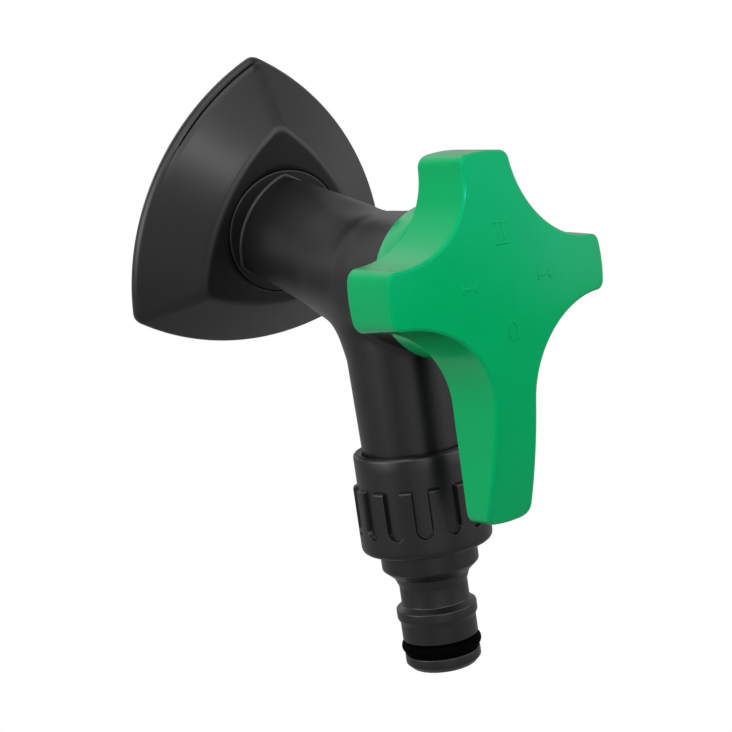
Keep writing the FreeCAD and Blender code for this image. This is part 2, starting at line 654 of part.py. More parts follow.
def thrust_washer():
    start = STEM_SHOULDER + FACE_GAP
    return placed(tube(THRUST_RADIUS, STEM_RADIUS + TURNING_GAP, start, THRUST_TOP), VALVE_FRAME)


def circlip():
    """Open spring ring above the hexagon, in the stem's groove."""
    start = HEX_TOP + FACE_GAP
    ring = tube(CIRCLIP_RADIUS, CIRCLIP_GROOVE + SEAT_GAP, start, start + CIRCLIP_THICKNESS)
    gap = box_between(vec(-CIRCLIP_GAP / 2, 0, start - 1), vec(CIRCLIP_GAP / 2, CIRCLIP_RADIUS + 1, start + 2))
    return placed(one_solid(ring.cut(gap)), VALVE_FRAME)


# Handle, in the valve frame

def arm_end(reach, half_width, outward):
    """Left corner, bulged middle and right corner of an arm's end, turned from +Y by an angle."""
    corner = reach - ARM_END_BULGE
    turn = FreeCAD.Rotation(vec(0, 0, 1), outward)
    return [turn.multVec(point) for point in (vec(half_width, corner), vec(0, reach), vec(-half_width, corner))]


def arc_through(points, height):
    lift = vec(0, 0, height)
    return Part.Arc(*(point + lift for point in points)).toShape()


def handle_outline(grow, height):
    """Three short arms and one long one, with round hollows between them."""
    ends = {angle: arm_end(SHORT_ARM + grow, SHORT_ARM_END_HALF + grow, angle) for angle in (0, 90, 270)}
    ends[180] = arm_end(LONG_ARM + grow, LONG_ARM_END_HALF + grow, 180)
    edges = [arc_through(points, height) for points in ends.values()]
    lift = vec(0, 0, height)
    for angle in (0, 90, 180, 270):
        start = ends[angle][2]
        end = ends[(angle + 90) % 360][0]
        deepest = polar(HOLLOW_REACH + grow, angle + 135)
        if angle == 90:
            waist = vec(-LONG_ARM_WAIST_HALF - grow, -LONG_ARM_WAIST)
            edges += [arc_through((start, deepest, waist), height), Part.makeLine(waist + lift, end + lift)]
        elif angle == 180:
            waist = vec(LONG_ARM_WAIST_HALF + grow, -LONG_ARM_WAIST)
            edges += [Part.makeLine(start + lift, waist + lift), arc_through((waist, deepest, end), height)]
        else:
            edges.append(arc_through((start, deepest, end), height))
    return Part.Wire(Part.__sortEdges__(edges))


def handle_star(inset, start, end):
    """The drafted star between two heights, drawn in by the inset."""
    span = HANDLE_FRONT - HANDLE_BACK
    wires = []
    for height in (start, end):
        grow = HANDLE_DRAFT * (HANDLE_FRONT - height) / span
        wires.append(handle_outline(grow - inset, height))
    return Part.makeLoft(wires, True, True)


def dome(inset):
    return Part.makeSphere(HANDLE_DOME - inset, vec(0, 0, HANDLE_FRONT - HANDLE_DOME))


def handle_outside():
    star = handle_star(0, HANDLE_BACK, HANDLE_FRONT + 1)
    upright = edges_where(star, lambda e: abs(e.tangentAt(e.FirstParameter).z) > 0.9 and is_arm_corner(e))
    star = star.makeFillet(ARM_CORNER, upright)
    star = star.common(dome(0))
    front = [face for face in star.Faces if isinstance(face.Surface, Part.Sphere)]
    return star.makeFillet(HANDLE_EDGE, front[0].OuterWire.Edges)


def is_arm_corner(edge):
    point = edge.CenterOfMass
    x, y = abs(point.x), abs(point.y)
    return max(x, y) > SHORT_ARM - 2


def skirt():
    """The round ring that covers the housing's front and runs up inside the handle."""
    return turned((SKIRT_RADIUS, SKIRT_BACK), (SKIRT_RADIUS, HANDLE_BACK),
                  (SKIRT_BLEND_RADIUS, SKIRT_BLEND_TOP), (SKIRT_BLEND_RADIUS - SKIRT_WALL, SKIRT_BLEND_TOP),
                  (SKIRT_RADIUS - SKIRT_WALL, HANDLE_BACK), (SKIRT_RADIUS - SKIRT_WALL, SKIRT_BACK))


def handle_ribs():
    half = HANDLE_RIB / 2
    back = HANDLE_RIB_BACK
    across = box_between(vec(-SHORT_ARM, -half, back), vec(SHORT_ARM, half, HANDLE_FRONT))
    along = box_between(vec(-half, -LONG_ARM, back), vec(half, SHORT_ARM, HANDLE_FRONT))
    return across.fuse(along)


def handle_hub():
    flats = TANG_ACROSS_FLATS / 2 + SEAT_GAP
    hub = cylinder(HUB_RADIUS, HUB_BACK, HANDLE_FRONT)
    hub = hub.fuse(handle_ribs())
    socket = box_between(vec(-flats, -flats, HUB_BACK - 1), vec(flats, flats, TANG_END + SEAT_GAP))
    socket = socket.common(cylinder(TANG_RADIUS + SEAT_GAP, HUB_BACK - 1, TANG_END + 1))
    half = CLIP_SECTION / 2 + SEAT_GAP
    groove = cylinder(TANG_RADIUS + 2 * CLIP_DEPTH, CLIP_HEIGHT - half, CLIP_HEIGHT + half)
    return hub.cut(socket.fuse(groove))


def handle():
    outside = handle_outside()
    hollow = handle_star(HANDLE_WALL, HANDLE_BACK - 1, HANDLE_FRONT).common(dome(HANDLE_WALL))
    bore = cylinder(SKIRT_RADIUS - SKIRT_WALL, HANDLE_BACK - 1, HANDLE_BACK)
    shell = outside.cut(hollow.fuse(bore)).fuse([skirt(), handle_hub().common(outside)])
    return placed(one_solid(shell), VALVE_FRAME)


def handle_clip():
    """Open spring ring that holds the handle's hub on the tang."""
    half = CLIP_SECTION / 2
    inner = TANG_ACROSS_FLATS / 2 - CLIP_DEPTH + SEAT_GAP
    ring = tube(TANG_RADIUS + 2 * CLIP_DEPTH - SEAT_GAP, inner, CLIP_HEIGHT - half, CLIP_HEIGHT + half)
    gap = box_between(vec(-CLIP_GAP / 2, 0, CLIP_HEIGHT - 1), vec(CLIP_GAP / 2, TANG_RADIUS + 2, CLIP_HEIGHT + 1))
    return placed(one_solid(ring.cut(gap)), VALVE_FRAME)


PIECES = {
    "wall_plate": wall_plate,
    "tap_body": tap_body,
    "inlet_nipple": inlet_nipple,
    "inlet_seal": inlet_seal,
    "hose_connector": hose_connector,
    "connector_washer": connector_washer,
    "nose_ring": nose_ring,
    "headwork_body": headwork_body,
    "headwork_ring": headwork_ring,
    "seat_seal": seat_seal,
    "seal_support": seal_support,
    "fixed_disc": fixed_disc,
    "moving_disc": moving_disc,
    "spindle": spindle,
    "spindle_rings": spindle_rings,
    "thrust_washer": thrust_washer,
    "circlip": circlip,
    "handle": handle,
    "handle_clip": handle_clip,
}

os.makedirs("parts", exist_ok=True)
for name, build in PIECES.items():
    shape = build()
    print(name, len(shape.Solids), "valid" if shape.isValid() else "NOT VALID", round(shape.Volume, 1))
    shape.exportStep("parts/%s.step" % name)
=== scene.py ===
"""Garden tap: the dressed model of a moulded wall tap with a star handle and a hose connector.

Metres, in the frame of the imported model: the origin is on the inlet axis in the plane of the wall,
+X to the right for someone who faces the tap, +Y into the wall, +Z up.
"""
from math import atan2, cos, hypot, pi, radians, sin, sqrt

import bmesh
import bpy
from mathutils import Matrix, Vector


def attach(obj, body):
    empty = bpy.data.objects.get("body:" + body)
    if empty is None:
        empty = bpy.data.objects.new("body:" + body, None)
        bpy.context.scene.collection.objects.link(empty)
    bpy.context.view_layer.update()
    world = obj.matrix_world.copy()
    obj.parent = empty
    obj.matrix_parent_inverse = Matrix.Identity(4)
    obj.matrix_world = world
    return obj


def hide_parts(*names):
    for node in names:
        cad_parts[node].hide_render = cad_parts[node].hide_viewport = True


bl_info = {
    "name": "Garden tap",
    "version": (1, 0, 0),
    "blender": (4, 5, 0),
    "location": "View3D > Sidebar > Tap",
    "description": "Builds the pieces and finishes of a moulded garden tap on its packed model",
    "category": "Object",
}

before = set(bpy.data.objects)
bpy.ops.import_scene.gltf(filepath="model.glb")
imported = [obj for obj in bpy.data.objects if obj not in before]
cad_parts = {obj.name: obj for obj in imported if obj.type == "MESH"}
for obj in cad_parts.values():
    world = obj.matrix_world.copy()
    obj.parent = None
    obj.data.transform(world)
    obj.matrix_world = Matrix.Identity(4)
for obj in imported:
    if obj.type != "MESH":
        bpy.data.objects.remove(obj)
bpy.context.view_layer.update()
MM = 0.001
SAME_POINT = 1e-7

# Directions of the tap: the spindle looks up by the tilt, the leg hangs at right angles to it
TILT = radians(13.8)
ELBOW = Vector((0, -56.8, 0)) * MM
SPINDLE_AXIS = Vector((0, -cos(TILT), sin(TILT)))
LEG_AXIS = Vector((0, -sin(TILT), -cos(TILT)))


def local_frame(origin, upward, outward):
    """Matrix whose local X is the world's X, local Y is upward and local Z is outward."""
    turn = Matrix((Vector((1, 0, 0)), upward, outward)).transposed()
    return Matrix.Translation(origin) @ turn.to_4x4()


WALL = local_frame(Vector(), Vector((0, 0, 1)), Vector((0, -1, 0)))
VALVE = local_frame(ELBOW, Vector((0, sin(TILT), cos(TILT))), SPINDLE_AXIS)
LEG = local_frame(ELBOW, SPINDLE_AXIS, LEG_AXIS)


# Sizes and colours that a user may change

def length(about, default):
    return bpy.props.FloatProperty(description=about, default=default, unit="LENGTH", min=0)


def number(about, default, least):
    return bpy.props.IntProperty(description=about, default=default, min=least)


def colour(about, default):
    return bpy.props.StringProperty(description=about + ", as an sRGB hex value", default=default)


class PlateSizes(bpy.types.PropertyGroup):
    corner: length("Axis to the tip of a corner", 0.0364)
    side: length("Axis to the middle of a side", 0.0281)
    fillet: length("Plan radius of the corners", 0.003)
    rim: length("Height of the upright rim", 0.001)
    band: length("Radius of the rounded band in front of the rim", 0.002)
    groove: length("Depth of the groove behind the band, near the top corner", 0.0005)
    height: length("Wall to the plateau", 0.013)
    plateau_corner: length("Axis to the plateau's corner", 0.0226)
    plateau_side: length("Axis to the middle of the plateau's side", 0.0161)
    edge: length("Width of the soft edge round the plateau", 0.0011)
    wall: length("Thickness of the moulding", 0.0022)


class BodySizes(bpy.types.PropertyGroup):
    foot: length("Radius of the round foot", 0.01355)
    foot_depth: length("Thickness of the foot, let into the plate", 0.003)
    shank: length("Radius of the shank in the plate", 0.0126)
    root_corner: length("Axis to the corner of the neck's root", 0.0126)
    root_side: length("Axis to the side of the neck's root", 0.01025)
    root_height: length("Height of the root in front of the plate", 0.0009)
    flare_start: length("Wall to where the neck begins to widen", 0.037)
    flare_root: length("Radius of the neck where it begins to widen", 0.0118)
    flare_end: length("Radius of the neck where it meets the housing", 0.0132)
    flare_drop: length("How far the flare's middle lies below the inlet axis", 0.0005)
    grid: length("Grid on which the soft joints of the moulding are worked out", 0.00042)
    softness: number("Rounds of smoothing on that grid", 36, 0)
    joint_softness: number("More rounds where the neck meets the housing", 180, 0)


class HandleSizes(bpy.types.PropertyGroup):
    short_arm: length("Axis to the end of a short arm", 0.0231)
    long_arm: length("Axis to the end of the long arm", 0.0449)
    front: length("Elbow to the middle of the front", 0.0407)
    back: length("Elbow to the back edge", 0.025)
    dome: length("Radius of the domed front", 0.109)
    wall: length("Thickness of the moulding", 0.002)
    edge: length("Width of the front edge's bevel", 0.0005)
    draft: length("Growth of the outline from front to back", 0.0009)


class ConnectorSizes(bpy.types.PropertyGroup):
    collar: length("Radius of the plain collar", 0.0125)
    grip: length("Radius of the grip", 0.0134)
    recess_width: length("Width of a grip recess", 0.0033)
    recess_length: length("Length of a grip recess", 0.0096)
    recess_count: number("Number of grip recesses", 14, 3)
    phase: bpy.props.FloatProperty(description="Turn of the grip about the leg", default=radians(5.4),
                                   subtype="ANGLE")


class ThreadSizes(bpy.types.PropertyGroup):
    crest: length("Radius over the crests of the half-inch pipe thread", 0.01048)
    pitch: length("Fourteen threads to the inch", 0.001814)
    depth: length("Depth of the thread", 0.00116)
    length: length("Thread that stands out of the wall plane", 0.015)
    bore: length("Radius of the water way", 0.006)
    relief: length("Radius of the plain stretch that the flat seal sits on", 0.0092)


class Finishes(bpy.types.PropertyGroup):
    body: colour("Black moulded polypropylene", "#0B0B0B")
    handle: colour("Green moulded ABS", "#009F59")
    rubber: colour("Black EPDM rubber", "#010101")
    brass: colour("Turned brass", "#C9A227")


def sizes(kind):
    return getattr(bpy.context.scene, "tap_" + kind)


# Colours and node trees

def linear(hex_value):
    """sRGB hex value to a linear colour with alpha."""
    parts = [int(hex_value[i:i + 2], 16) / 255 for i in (1, 3, 5)]
    return tuple(p / 12.92 if p <= 0.04045 else ((p + 0.055) / 1.055) ** 2.4 for p in parts) + (1.0,)


def node(tree, kind, links=None, **settings):
    """Add a node with its settings; links maps an input to a socket or to a value."""
    made = tree.nodes.new(kind)
    for name, value in settings.items():
        setattr(made, name, value)
    for name, value in (links or {}).items():
        if isinstance(value, bpy.types.NodeSocket):
            tree.links.new(value, made.inputs[name])
        else:
            made.inputs[name].default_value = value
    return made


def new_material(name):
    """An empty material and its node tree."""
    material = bpy.data.materials.new(name)
    material.use_nodes = True
    material.node_tree.nodes.clear()
    return material, material.node_tree


def noise(tree, size, detail):
    """Noise in the object's own space, with features of about this size."""
    place = node(tree, "ShaderNodeTexCoord").outputs["Object"]
    made = node(tree, "ShaderNodeTexNoise", {"Vector": place, "Scale": 1 / size, "Detail": detail})
    return made.outputs["Fac"]


def spread(tree, value, low, high):
    """Map a value between 0 and 1 to a range."""
    return node(tree, "ShaderNodeMapRange", {"Value": value, "To Min": low, "To Max": high}).outputs["Result"]


def mixed(tree, share, first, second, blend="MIX"):
    made = node(tree, "ShaderNodeMix", {"Factor": share, "A": first, "B": second},
                data_type="RGBA", blend_type=blend)
    return made.outputs["Result"]


def relief(tree, height, strength, depth):
    made = node(tree, "ShaderNodeBump", {"Height": height, "Strength": strength, "Distance": depth})
    return made.outputs["Normal"]


def coat(material, inputs):
    """Give a material its surface."""
    tree = material.node_tree
    shader = node(tree, "ShaderNodeBsdfPrincipled", inputs)
    node(tree, "ShaderNodeOutputMaterial", {"Surface": shader.outputs["BSDF"]})
    return material


def maths(tree, operation, *values):
    return node(tree, "ShaderNodeMath", dict(enumerate(values)), operation=operation).outputs[0]


def node_group(name, inputs):
    """Geometry Nodes with these inputs; gives the tree, the sockets inside it and their identifiers."""
    tree = bpy.data.node_groups.new(name, "GeometryNodeTree")
    identifiers = {}
    for label, kind in inputs.items():
        socket = tree.interface.new_socket(label, in_out="INPUT", socket_type="NodeSocket" + kind)
        identifiers[label] = socket.identifier
    tree.interface.new_socket("Geometry", in_out="OUTPUT", socket_type="NodeSocketGeometry")
    return tree, node(tree, "NodeGroupInput").outputs, identifiers


def hand_out(tree, geometry, material):
    """End Geometry Nodes with this geometry in this material."""
    coated = node(tree, "GeometryNodeSetMaterial", {"Geometry": geometry, "Material": material})
    node(tree, "NodeGroupOutput", {"Geometry": coated.outputs[0]})


# Meshes

def new_object(name, data):
    """An object of this data in the scene."""
    made = bpy.data.objects.new(name, data)
    bpy.context.scene.collection.objects.link(made)
    return made


def finish_mesh(name, mesh, body, material, replaced, sharp=radians(40)):
    """Make an object of a mesh that lies in place, shade it and hand it to its body."""
    mesh.validate()
    mesh.polygons.foreach_set("use_smooth", [True] * len(mesh.polygons))
    mesh.set_sharp_from_angle(angle=sharp)
    piece = new_object(name, mesh)
    mesh.materials.clear()
    mesh.materials.append(material)
    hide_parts(replaced)
    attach(piece, body)


def in_metres(rows):
    return [tuple(value * MM for value in row) for row in rows]


def outwards(mesh):
    """Merge a mesh's double points and turn its faces outwards."""
    shape = bmesh.new()
    shape.from_mesh(mesh)
    bmesh.ops.remove_doubles(shape, verts=shape.verts, dist=SAME_POINT)
    bmesh.ops.recalc_face_normals(shape, faces=shape.faces)
    shape.to_mesh(mesh)
    shape.free()
    return mesh


class Builder:
    """Collects rings of points and joins neighbouring rings with quads."""

    def __init__(self):
        self.vertices = []
        self.faces = []

    def stack(self, rings, closed=False):
        """Skin a list of rings; closed joins the last ring to the first, else both ends get a pole."""
        start = len(self.vertices)
        count = len(rings[0])
        for ring in rings:
            self.vertices.extend(ring)
        pairs = [(i, i + 1) for i in range(len(rings) - 1)]
        if closed:
            pairs.append((len(rings) - 1, 0))
        for low, high in pairs:
            for i in range(count):
                j = (i + 1) % count
                self.faces.append((start + low * count + i, start + low * count + j,
                                   start + high * count + j, start + high * count + i))
        if not closed:
            for row in (0, len(rings) - 1):
                middle = sum((Vector(p) for p in rings[row]), Vector()) / count
                self.vertices.append(middle)
                pole = len(self.vertices) - 1
                first = start + row * count
                self.faces.extend((first + i, first + (i + 1) % count, pole) for i in range(count))

    def mesh(self, name, place):
        """Mesh of what is collected, moved to its place."""
        made = bpy.data.meshes.new(name)
        made.from_pydata([place @ Vector(v) for v in self.vertices], [], self.faces)
        return outwards(made)


def bend(start, corner, end, t):
    """Point on a curve that leaves start towards the corner and turns there to reach end."""
    return start * (1 - t) ** 2 + corner * 2 * t * (1 - t) + end * t ** 2


def between(first, second, share):
    """The ring at this share of the way from one ring to another."""
    return [tuple(a + (b - a) * share for a, b in zip(p, q)) for p, q in zip(first, second)]


def rounded(corners, steps=5):
    """Outline points from (radius, height, rounding) corners, each rounding drawn as an arc."""
    count = len(corners)
    points = []
    for i, (r, h, rounding) in enumerate(corners):
        here = Vector((r, h))
        if rounding <= 0 or i in (0, count - 1):
            points.append(here)
            continue
        before = Vector(corners[i - 1][:2]) - here
        after = Vector(corners[i + 1][:2]) - here
        half = before.angle(after) / 2
        wanted = rounding / max(1e-6, abs(sin(half) / cos(half)))
        reach = min(wanted, before.length * 0.49, after.length * 0.49)
        start = here + before.normalized() * reach
        end = here + after.normalized() * reach
        points.extend(bend(start, here, end, step / steps) for step in range(steps + 1))
    return points


def circle(radius, height, count, phase=0.0):
    return [(radius * cos(2 * pi * i / count + phase), radius * sin(2 * pi * i / count + phase), height)
            for i in range(count)]


def revolve(builder, outline, count=128, closed=True):
    """Turn (radius, height) points about the local Z."""
    builder.stack([circle(p[0], p[1], count) for p in outline], closed)


# The three-cornered outline that the plate and the neck's root share

def three_corners(corner, side, fillet, height, side_steps=40, corner_steps=10):
    """Closed outline of three long arcs and three corner arcs, one corner towards local Y."""
    reach = corner - fillet
    flat = side - fillet
    pull = (reach ** 2 - flat ** 2) / (2 * flat - reach)
    half = atan2(reach * sin(pi / 3), reach * cos(pi / 3) + pull)
    points = []
    for middle in (-pi / 2, pi / 6, 5 * pi / 6):
        for i in range(side_steps):
            a = middle - half + 2 * half * i / side_steps
            points.append((-pull * cos(middle) + (side + pull) * cos(a),
                           -pull * sin(middle) + (side + pull) * sin(a), height))
        span = 2 * pi / 3 - 2 * half
        tip = middle + pi / 3
        for i in range(corner_steps):
            a = middle + half + span * i / corner_steps
            points.append((reach * cos(tip) + fillet * cos(a), reach * sin(tip) + fillet * sin(a), height))
    return points


def round_like(ring, radius, height):
    """A circle whose points lie in the directions of another ring's points."""
    return [(radius * x / hypot(x, y), radius * y / hypot(x, y), height) for x, y, _ in ring]


# Materials

def satin_polypropylene():
    """Moulded polypropylene, spark-eroded in the tool: a fine even grain and a broad soft sheen."""
    material, tree = new_material("satin_polypropylene")
    # The grain is about 0.1 mm across, drawn at 0.25 mm so that it shows
    grain = noise(tree, 0.25 * MM, 2.0)
    flow = spread(tree, noise(tree, 9 * MM, 3.0), 0.85, 1.2)
    return coat(material, {"Base Color": mixed(tree, 1.0, linear(sizes("finishes").body), flow, "MULTIPLY"),
                           "Roughness": spread(tree, grain, 0.28, 0.38), "IOR": 1.49,
                           "Normal": relief(tree, grain, 0.25, 0.02 * MM)})


def gloss_abs():
    """Moulded ABS from a polished tool: even colour, sharp reflections and a faint flow waviness."""
    material, tree = new_material("gloss_abs")
    waves = noise(tree, 6 * MM, 1.0)
    flow = spread(tree, waves, 0.96, 1.04)
    # Real ABS reflects without a tint; this one keeps red out of the green, as it was photographed
    return coat(material, {"Base Color": mixed(tree, 1.0, linear(sizes("finishes").handle), flow, "MULTIPLY"),
                           "Roughness": 0.16, "Normal": relief(tree, waves, 0.15, 0.05 * MM), "IOR": 1.53,
                           "Specular IOR Level": 0.3, "Specular Tint": (0.12, 0.6, 1.0, 1.0)})


def epdm_rubber():
    """Moulded EPDM rubber: deep black, and so matte that it hardly shines at all."""
    material, tree = new_material("epdm_rubber")
    film = noise(tree, 1.5 * MM, 3.0)
    return coat(material, {"Base Color": linear(sizes("finishes").rubber), "IOR": 1.5,
                           "Roughness": spread(tree, film, 0.6, 0.8), "Specular IOR Level": 0.02})


def turned_metal(name, hex_value, grooves, low, high):
    """Metal turned on a lathe: fine rings across the axis that stretch its reflections."""
    material, tree = new_material(name)
    place = node(tree, "ShaderNodeTexCoord").outputs["Object"]
    # Feed marks are about 0.1 mm apart, drawn at the pitch given so that they show
    marks = node(tree, "ShaderNodeTexWave", {"Vector": place, "Scale": 1 / grooves, "Distortion": 0.4},
                 bands_direction="Y").outputs["Fac"]
    return coat(material, {"Base Color": linear(hex_value), "Metallic": 1.0,
                           "Roughness": spread(tree, noise(tree, 3 * MM, 4.0), low, high),
                           "Normal": relief(tree, marks, 0.2, 0.01 * MM)})


def turned_brass():
    return turned_metal("turned_brass", sizes("finishes").brass, 0.35 * MM, 0.22, 0.38)


def spring_steel():
    return turned_metal("spring_steel", "#B4B4B6", 0.5 * MM, 0.25, 0.4)


def lapped_alumina():
    """Sintered alumina, lapped flat: cool white, dense and slightly speckled."""
    material, tree = new_material("lapped_alumina")
    tone = mixed(tree, noise(tree, 0.4 * MM, 5.0), linear("#E6E2DA"), linear("#F2F0EC"))
    return coat(material, {"Base Color": tone, "Roughness": 0.18, "IOR": 1.76})


def natural_acetal():
    """Moulded acetal, uncoloured: milky white and slightly waxy."""
    material, tree = new_material("natural_acetal")
    tone = mixed(tree, noise(tree, 4 * MM, 2.0), linear("#DEDCD4"), linear("#ECEAE2"))
    return coat(material, {"Base Color": tone, "Roughness": 0.42, "IOR": 1.48})


def finish(maker):
    """The material that a maker function gives, made once."""
    made = bpy.data.materials.get(maker.__name__)
    return made or maker()


# Wall plate

BAND_TURN = radians(48)
BAND_FOOT = 0.8                # share of the rim's height where the band begins
GROOVE_ROWS = ((0.012, 0.0), (0.022, 0.6), (0.035, 1.0), (0.048, 0.6), (0.058, 0.0))
EDGE_ON_SLOPE = 0.7            # share of the plateau's soft edge that lies on the slope
EDGE_BREAK = 0.2 * MM
FOOT_PLAY = 0.07 * MM
FOOT_SEAT = 0.03 * MM
BOSS_WALL = 2.4 * MM
HOLLOW_RIM = 1.2 * MM          # height of the hollow's upright wall above the rim
HOLLOW_INSET = 1.0 * MM
RIB_HALF = 0.8 * MM
RIB_START = 15.5 * MM


def plate_rings():
    """Rings of the plate's skin, from the outer back edge over the front and back through the hollow."""
    s = sizes("plate")
    body = sizes("body")

    def outline(inset, height):
        return three_corners(s.corner - inset, s.side - inset, s.fillet, height)

    def plateau(inset, height):
        return three_corners(s.plateau_corner - inset, s.plateau_side - inset, s.fillet, height)

    rings = [outline(EDGE_BREAK, 0), outline(0, EDGE_BREAK)]
    for step in range(10):
        a = BAND_TURN * step / 9
        rings.append(outline(s.band * (1 - cos(a)), s.rim * BAND_FOOT + s.band * sin(a)))
    start = s.band * (1 - cos(BAND_TURN))
    band_top = s.rim * BAND_FOOT + s.band * sin(BAND_TURN)
    rise = s.height - band_top

    def slope(share):
        """One ring on the sloping face."""
        corner = s.corner - start + (s.plateau_corner - s.corner + start) * share
        side = s.side - start + (s.plateau_side - s.side + start) * share
        return three_corners(corner, side, s.fillet, band_top + rise * share)

    for share, sunk in GROOVE_ROWS:
        rings.append([(x, y, z - sunk * s.groove * groove_share(x, y)) for x, y, z in slope(share)])
    soft_from = 1 - s.edge * EDGE_ON_SLOPE / rise
    for step in range(1, 12):
        rings.append(slope(share + (soft_from - share) * step / 11))
    corners = (slope(soft_from), slope(1), plateau(s.edge, s.height))
    for t in (k / 8 for k in range(1, 9)):
        rings.append([tuple(bend(a, b, c, t) for a, b, c in zip(*points)) for points in zip(*corners)])
    bore = body.foot + FOOT_PLAY
    last = rings[-1]
    edge = round_like(last, bore + 1.5 * EDGE_BREAK, s.height)
    rings.extend(between(last, edge, share) for share in (0.4, 0.8))
    floor = s.height - body.foot_depth - FOOT_SEAT
    shank = body.shank + FOOT_PLAY
    boss = bore + BOSS_WALL
    roof = s.height - s.wall
    for radius, height in ((bore + EDGE_BREAK, s.height), (bore, s.height - EDGE_BREAK), (bore, floor),
                           (shank, floor), (shank, 0), (boss, 0), (boss, roof)):
        rings.append(round_like(last, radius, height))
    rings.append(plateau(s.wall, roof))
    rings.extend(outline(s.wall + HOLLOW_INSET, height) for height in (s.rim + HOLLOW_RIM, 0))
    return rings


def groove_share(across, up):
    """The groove is deepest at the top corner and runs out down the left side."""
    return smooth_step((up - 12 * MM) / (12 * MM)) * smooth_step((2 * MM - across) / (4 * MM))


class TAP_OT_wall_plate(bpy.types.Operator):
    """Build the hollow wall plate with its ribs"""
    bl_idname = "tap.wall_plate"
    bl_label = "Wall plate"

    def execute(self, context):
        s = sizes("plate")
        builder = Builder()
        builder.stack(plate_rings(), closed=True)
        foot = s.corner - s.wall - EDGE_BREAK
        top = s.plateau_corner - s.wall + RIB_HALF
        roof = s.height - s.wall + RIB_HALF
        profile = ((RIB_START, s.rim), (foot, s.rim), (foot, s.rim + HOLLOW_RIM), (top, roof),
                   (RIB_START, roof))
        for corner in (pi / 2, pi * 7 / 6, pi * 11 / 6):
            turn = Matrix.Rotation(corner, 3, "Z")
            start = len(builder.vertices)
            count = len(profile)
            for offset in (-RIB_HALF, RIB_HALF):
                builder.vertices.extend(turn @ Vector((r, offset, h)) for r, h in profile)
            builder.faces.append(tuple(range(start, start + count)))
            builder.faces.append(tuple(range(start + 2 * count - 1, start + count - 1, -1)))
            for i in range(count):
                j = (i + 1) % count
                builder.faces.append((start + i, start + count + i, start + count + j, start + j))
        mesh = builder.mesh("wall_plate_moulding", WALL)
        finish_mesh("wall_plate_moulding", mesh, "plate", finish(satin_polypropylene),
                    "wall_plate", sharp=radians(50))
        return {"FINISHED"}


# Tap body

HOUSING_RADIUS = 13.4 * MM
CUT_AHEAD = 0.5 * MM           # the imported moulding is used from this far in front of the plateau
FLARE_BORE = 9 * MM
FLARE_DEPTH = 56.2 * MM
JOINT_FULL = 2 * MM            # distance from the housing's round back that is softened in full
JOINT_FADE = 3 * MM            # distance over which that runs out
JOINT_FULL_NECK = 3 * MM       # what the neck's side adds to both
JOINT_FADE_NECK = 6 * MM
JOINT_FRONT = 6 * MM
JOINT_SWELL = 0.3 * MM


def soft_body_mesh():
    """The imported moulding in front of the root, with its joints softened on a fine grid."""
    s = sizes("body")
    cut = -(sizes("plate").height + CUT_AHEAD)
    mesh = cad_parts["tap_body"].data.copy()
    shape = bmesh.new()
    shape.from_mesh(mesh)
    bmesh.ops.remove_doubles(shape, verts=shape.verts, dist=1e-6)
    geometry = shape.verts[:] + shape.edges[:] + shape.faces[:]
    result = bmesh.ops.bisect_plane(shape, geom=geometry, plane_co=(0, cut, 0), plane_no=(0, 1, 0),
                                    clear_outer=True)
    rim = [item for item in result["geom_cut"] if isinstance(item, bmesh.types.BMEdge)]
    bmesh.ops.holes_fill(shape, edges=rim)
    shape.from_mesh(neck_flare())
    shape.to_mesh(mesh)
    shape.free()
    piece = new_object("soft_body", mesh)
    grid = piece.modifiers.new("grid", "REMESH")
    grid.mode = "VOXEL"
    grid.voxel_size = s.grid
    soften(piece, s.softness)
    return soft_joint(with_modifiers(piece))


def soften(piece, rounds, group=""):
    """Smooth a piece, all of it or as far as a vertex group says."""
    modifier = piece.modifiers.new("soften", "SMOOTH")
    modifier.factor = 0.5
    modifier.iterations = rounds
    modifier.vertex_group = group


def neck_flare():
    """Hollow cone that fills the valley between the neck and the round back of the valve housing."""
    s = sizes("body")
    builder = Builder()
    revolve(builder, [(FLARE_BORE, s.flare_start), (s.flare_root, s.flare_start), (s.flare_end, FLARE_DEPTH),
                      (FLARE_BORE, FLARE_DEPTH)])
    return builder.mesh("neck_flare", WALL @ Matrix.Translation((0, -s.flare_drop, 0)))


def with_modifiers(piece):
    """The plain mesh that an object's modifiers give; the object goes."""
    evaluated = piece.evaluated_get(bpy.context.evaluated_depsgraph_get())
    mesh = bpy.data.meshes.new_from_object(evaluated)
    bpy.data.objects.remove(piece)
    return mesh


def soft_joint(mesh):
    """Smooth the outside more where the neck runs into the round back of the valve housing."""
    piece = new_object("soft_joint", mesh)
    group = piece.vertex_groups.new(name="joint")
    for vertex in mesh.vertices:
        reach = vertex.co - ELBOW
        off = abs(reach.length - HOUSING_RADIUS)
        along_neck = max(0, reach.y) / reach.length
        full = JOINT_FULL + JOINT_FULL_NECK * along_neck
        fade = JOINT_FADE + JOINT_FADE_NECK * along_neck
        near = 1 - smooth_step((off - full) / fade)
        weight = near * (1 - smooth_step(reach.dot(SPINDLE_AXIS) / JOINT_FRONT))
        if weight > 0:
            group.add([vertex.index], weight, "REPLACE")
    soften(piece, sizes("body").joint_softness, group.name)
    # Smoothing draws round faces in, which this puts right
    swell = piece.modifiers.new("swell", "DISPLACE")
    swell.mid_level = 0
    swell.strength = JOINT_SWELL
    swell.vertex_group = group.name
    return with_modifiers(piece)


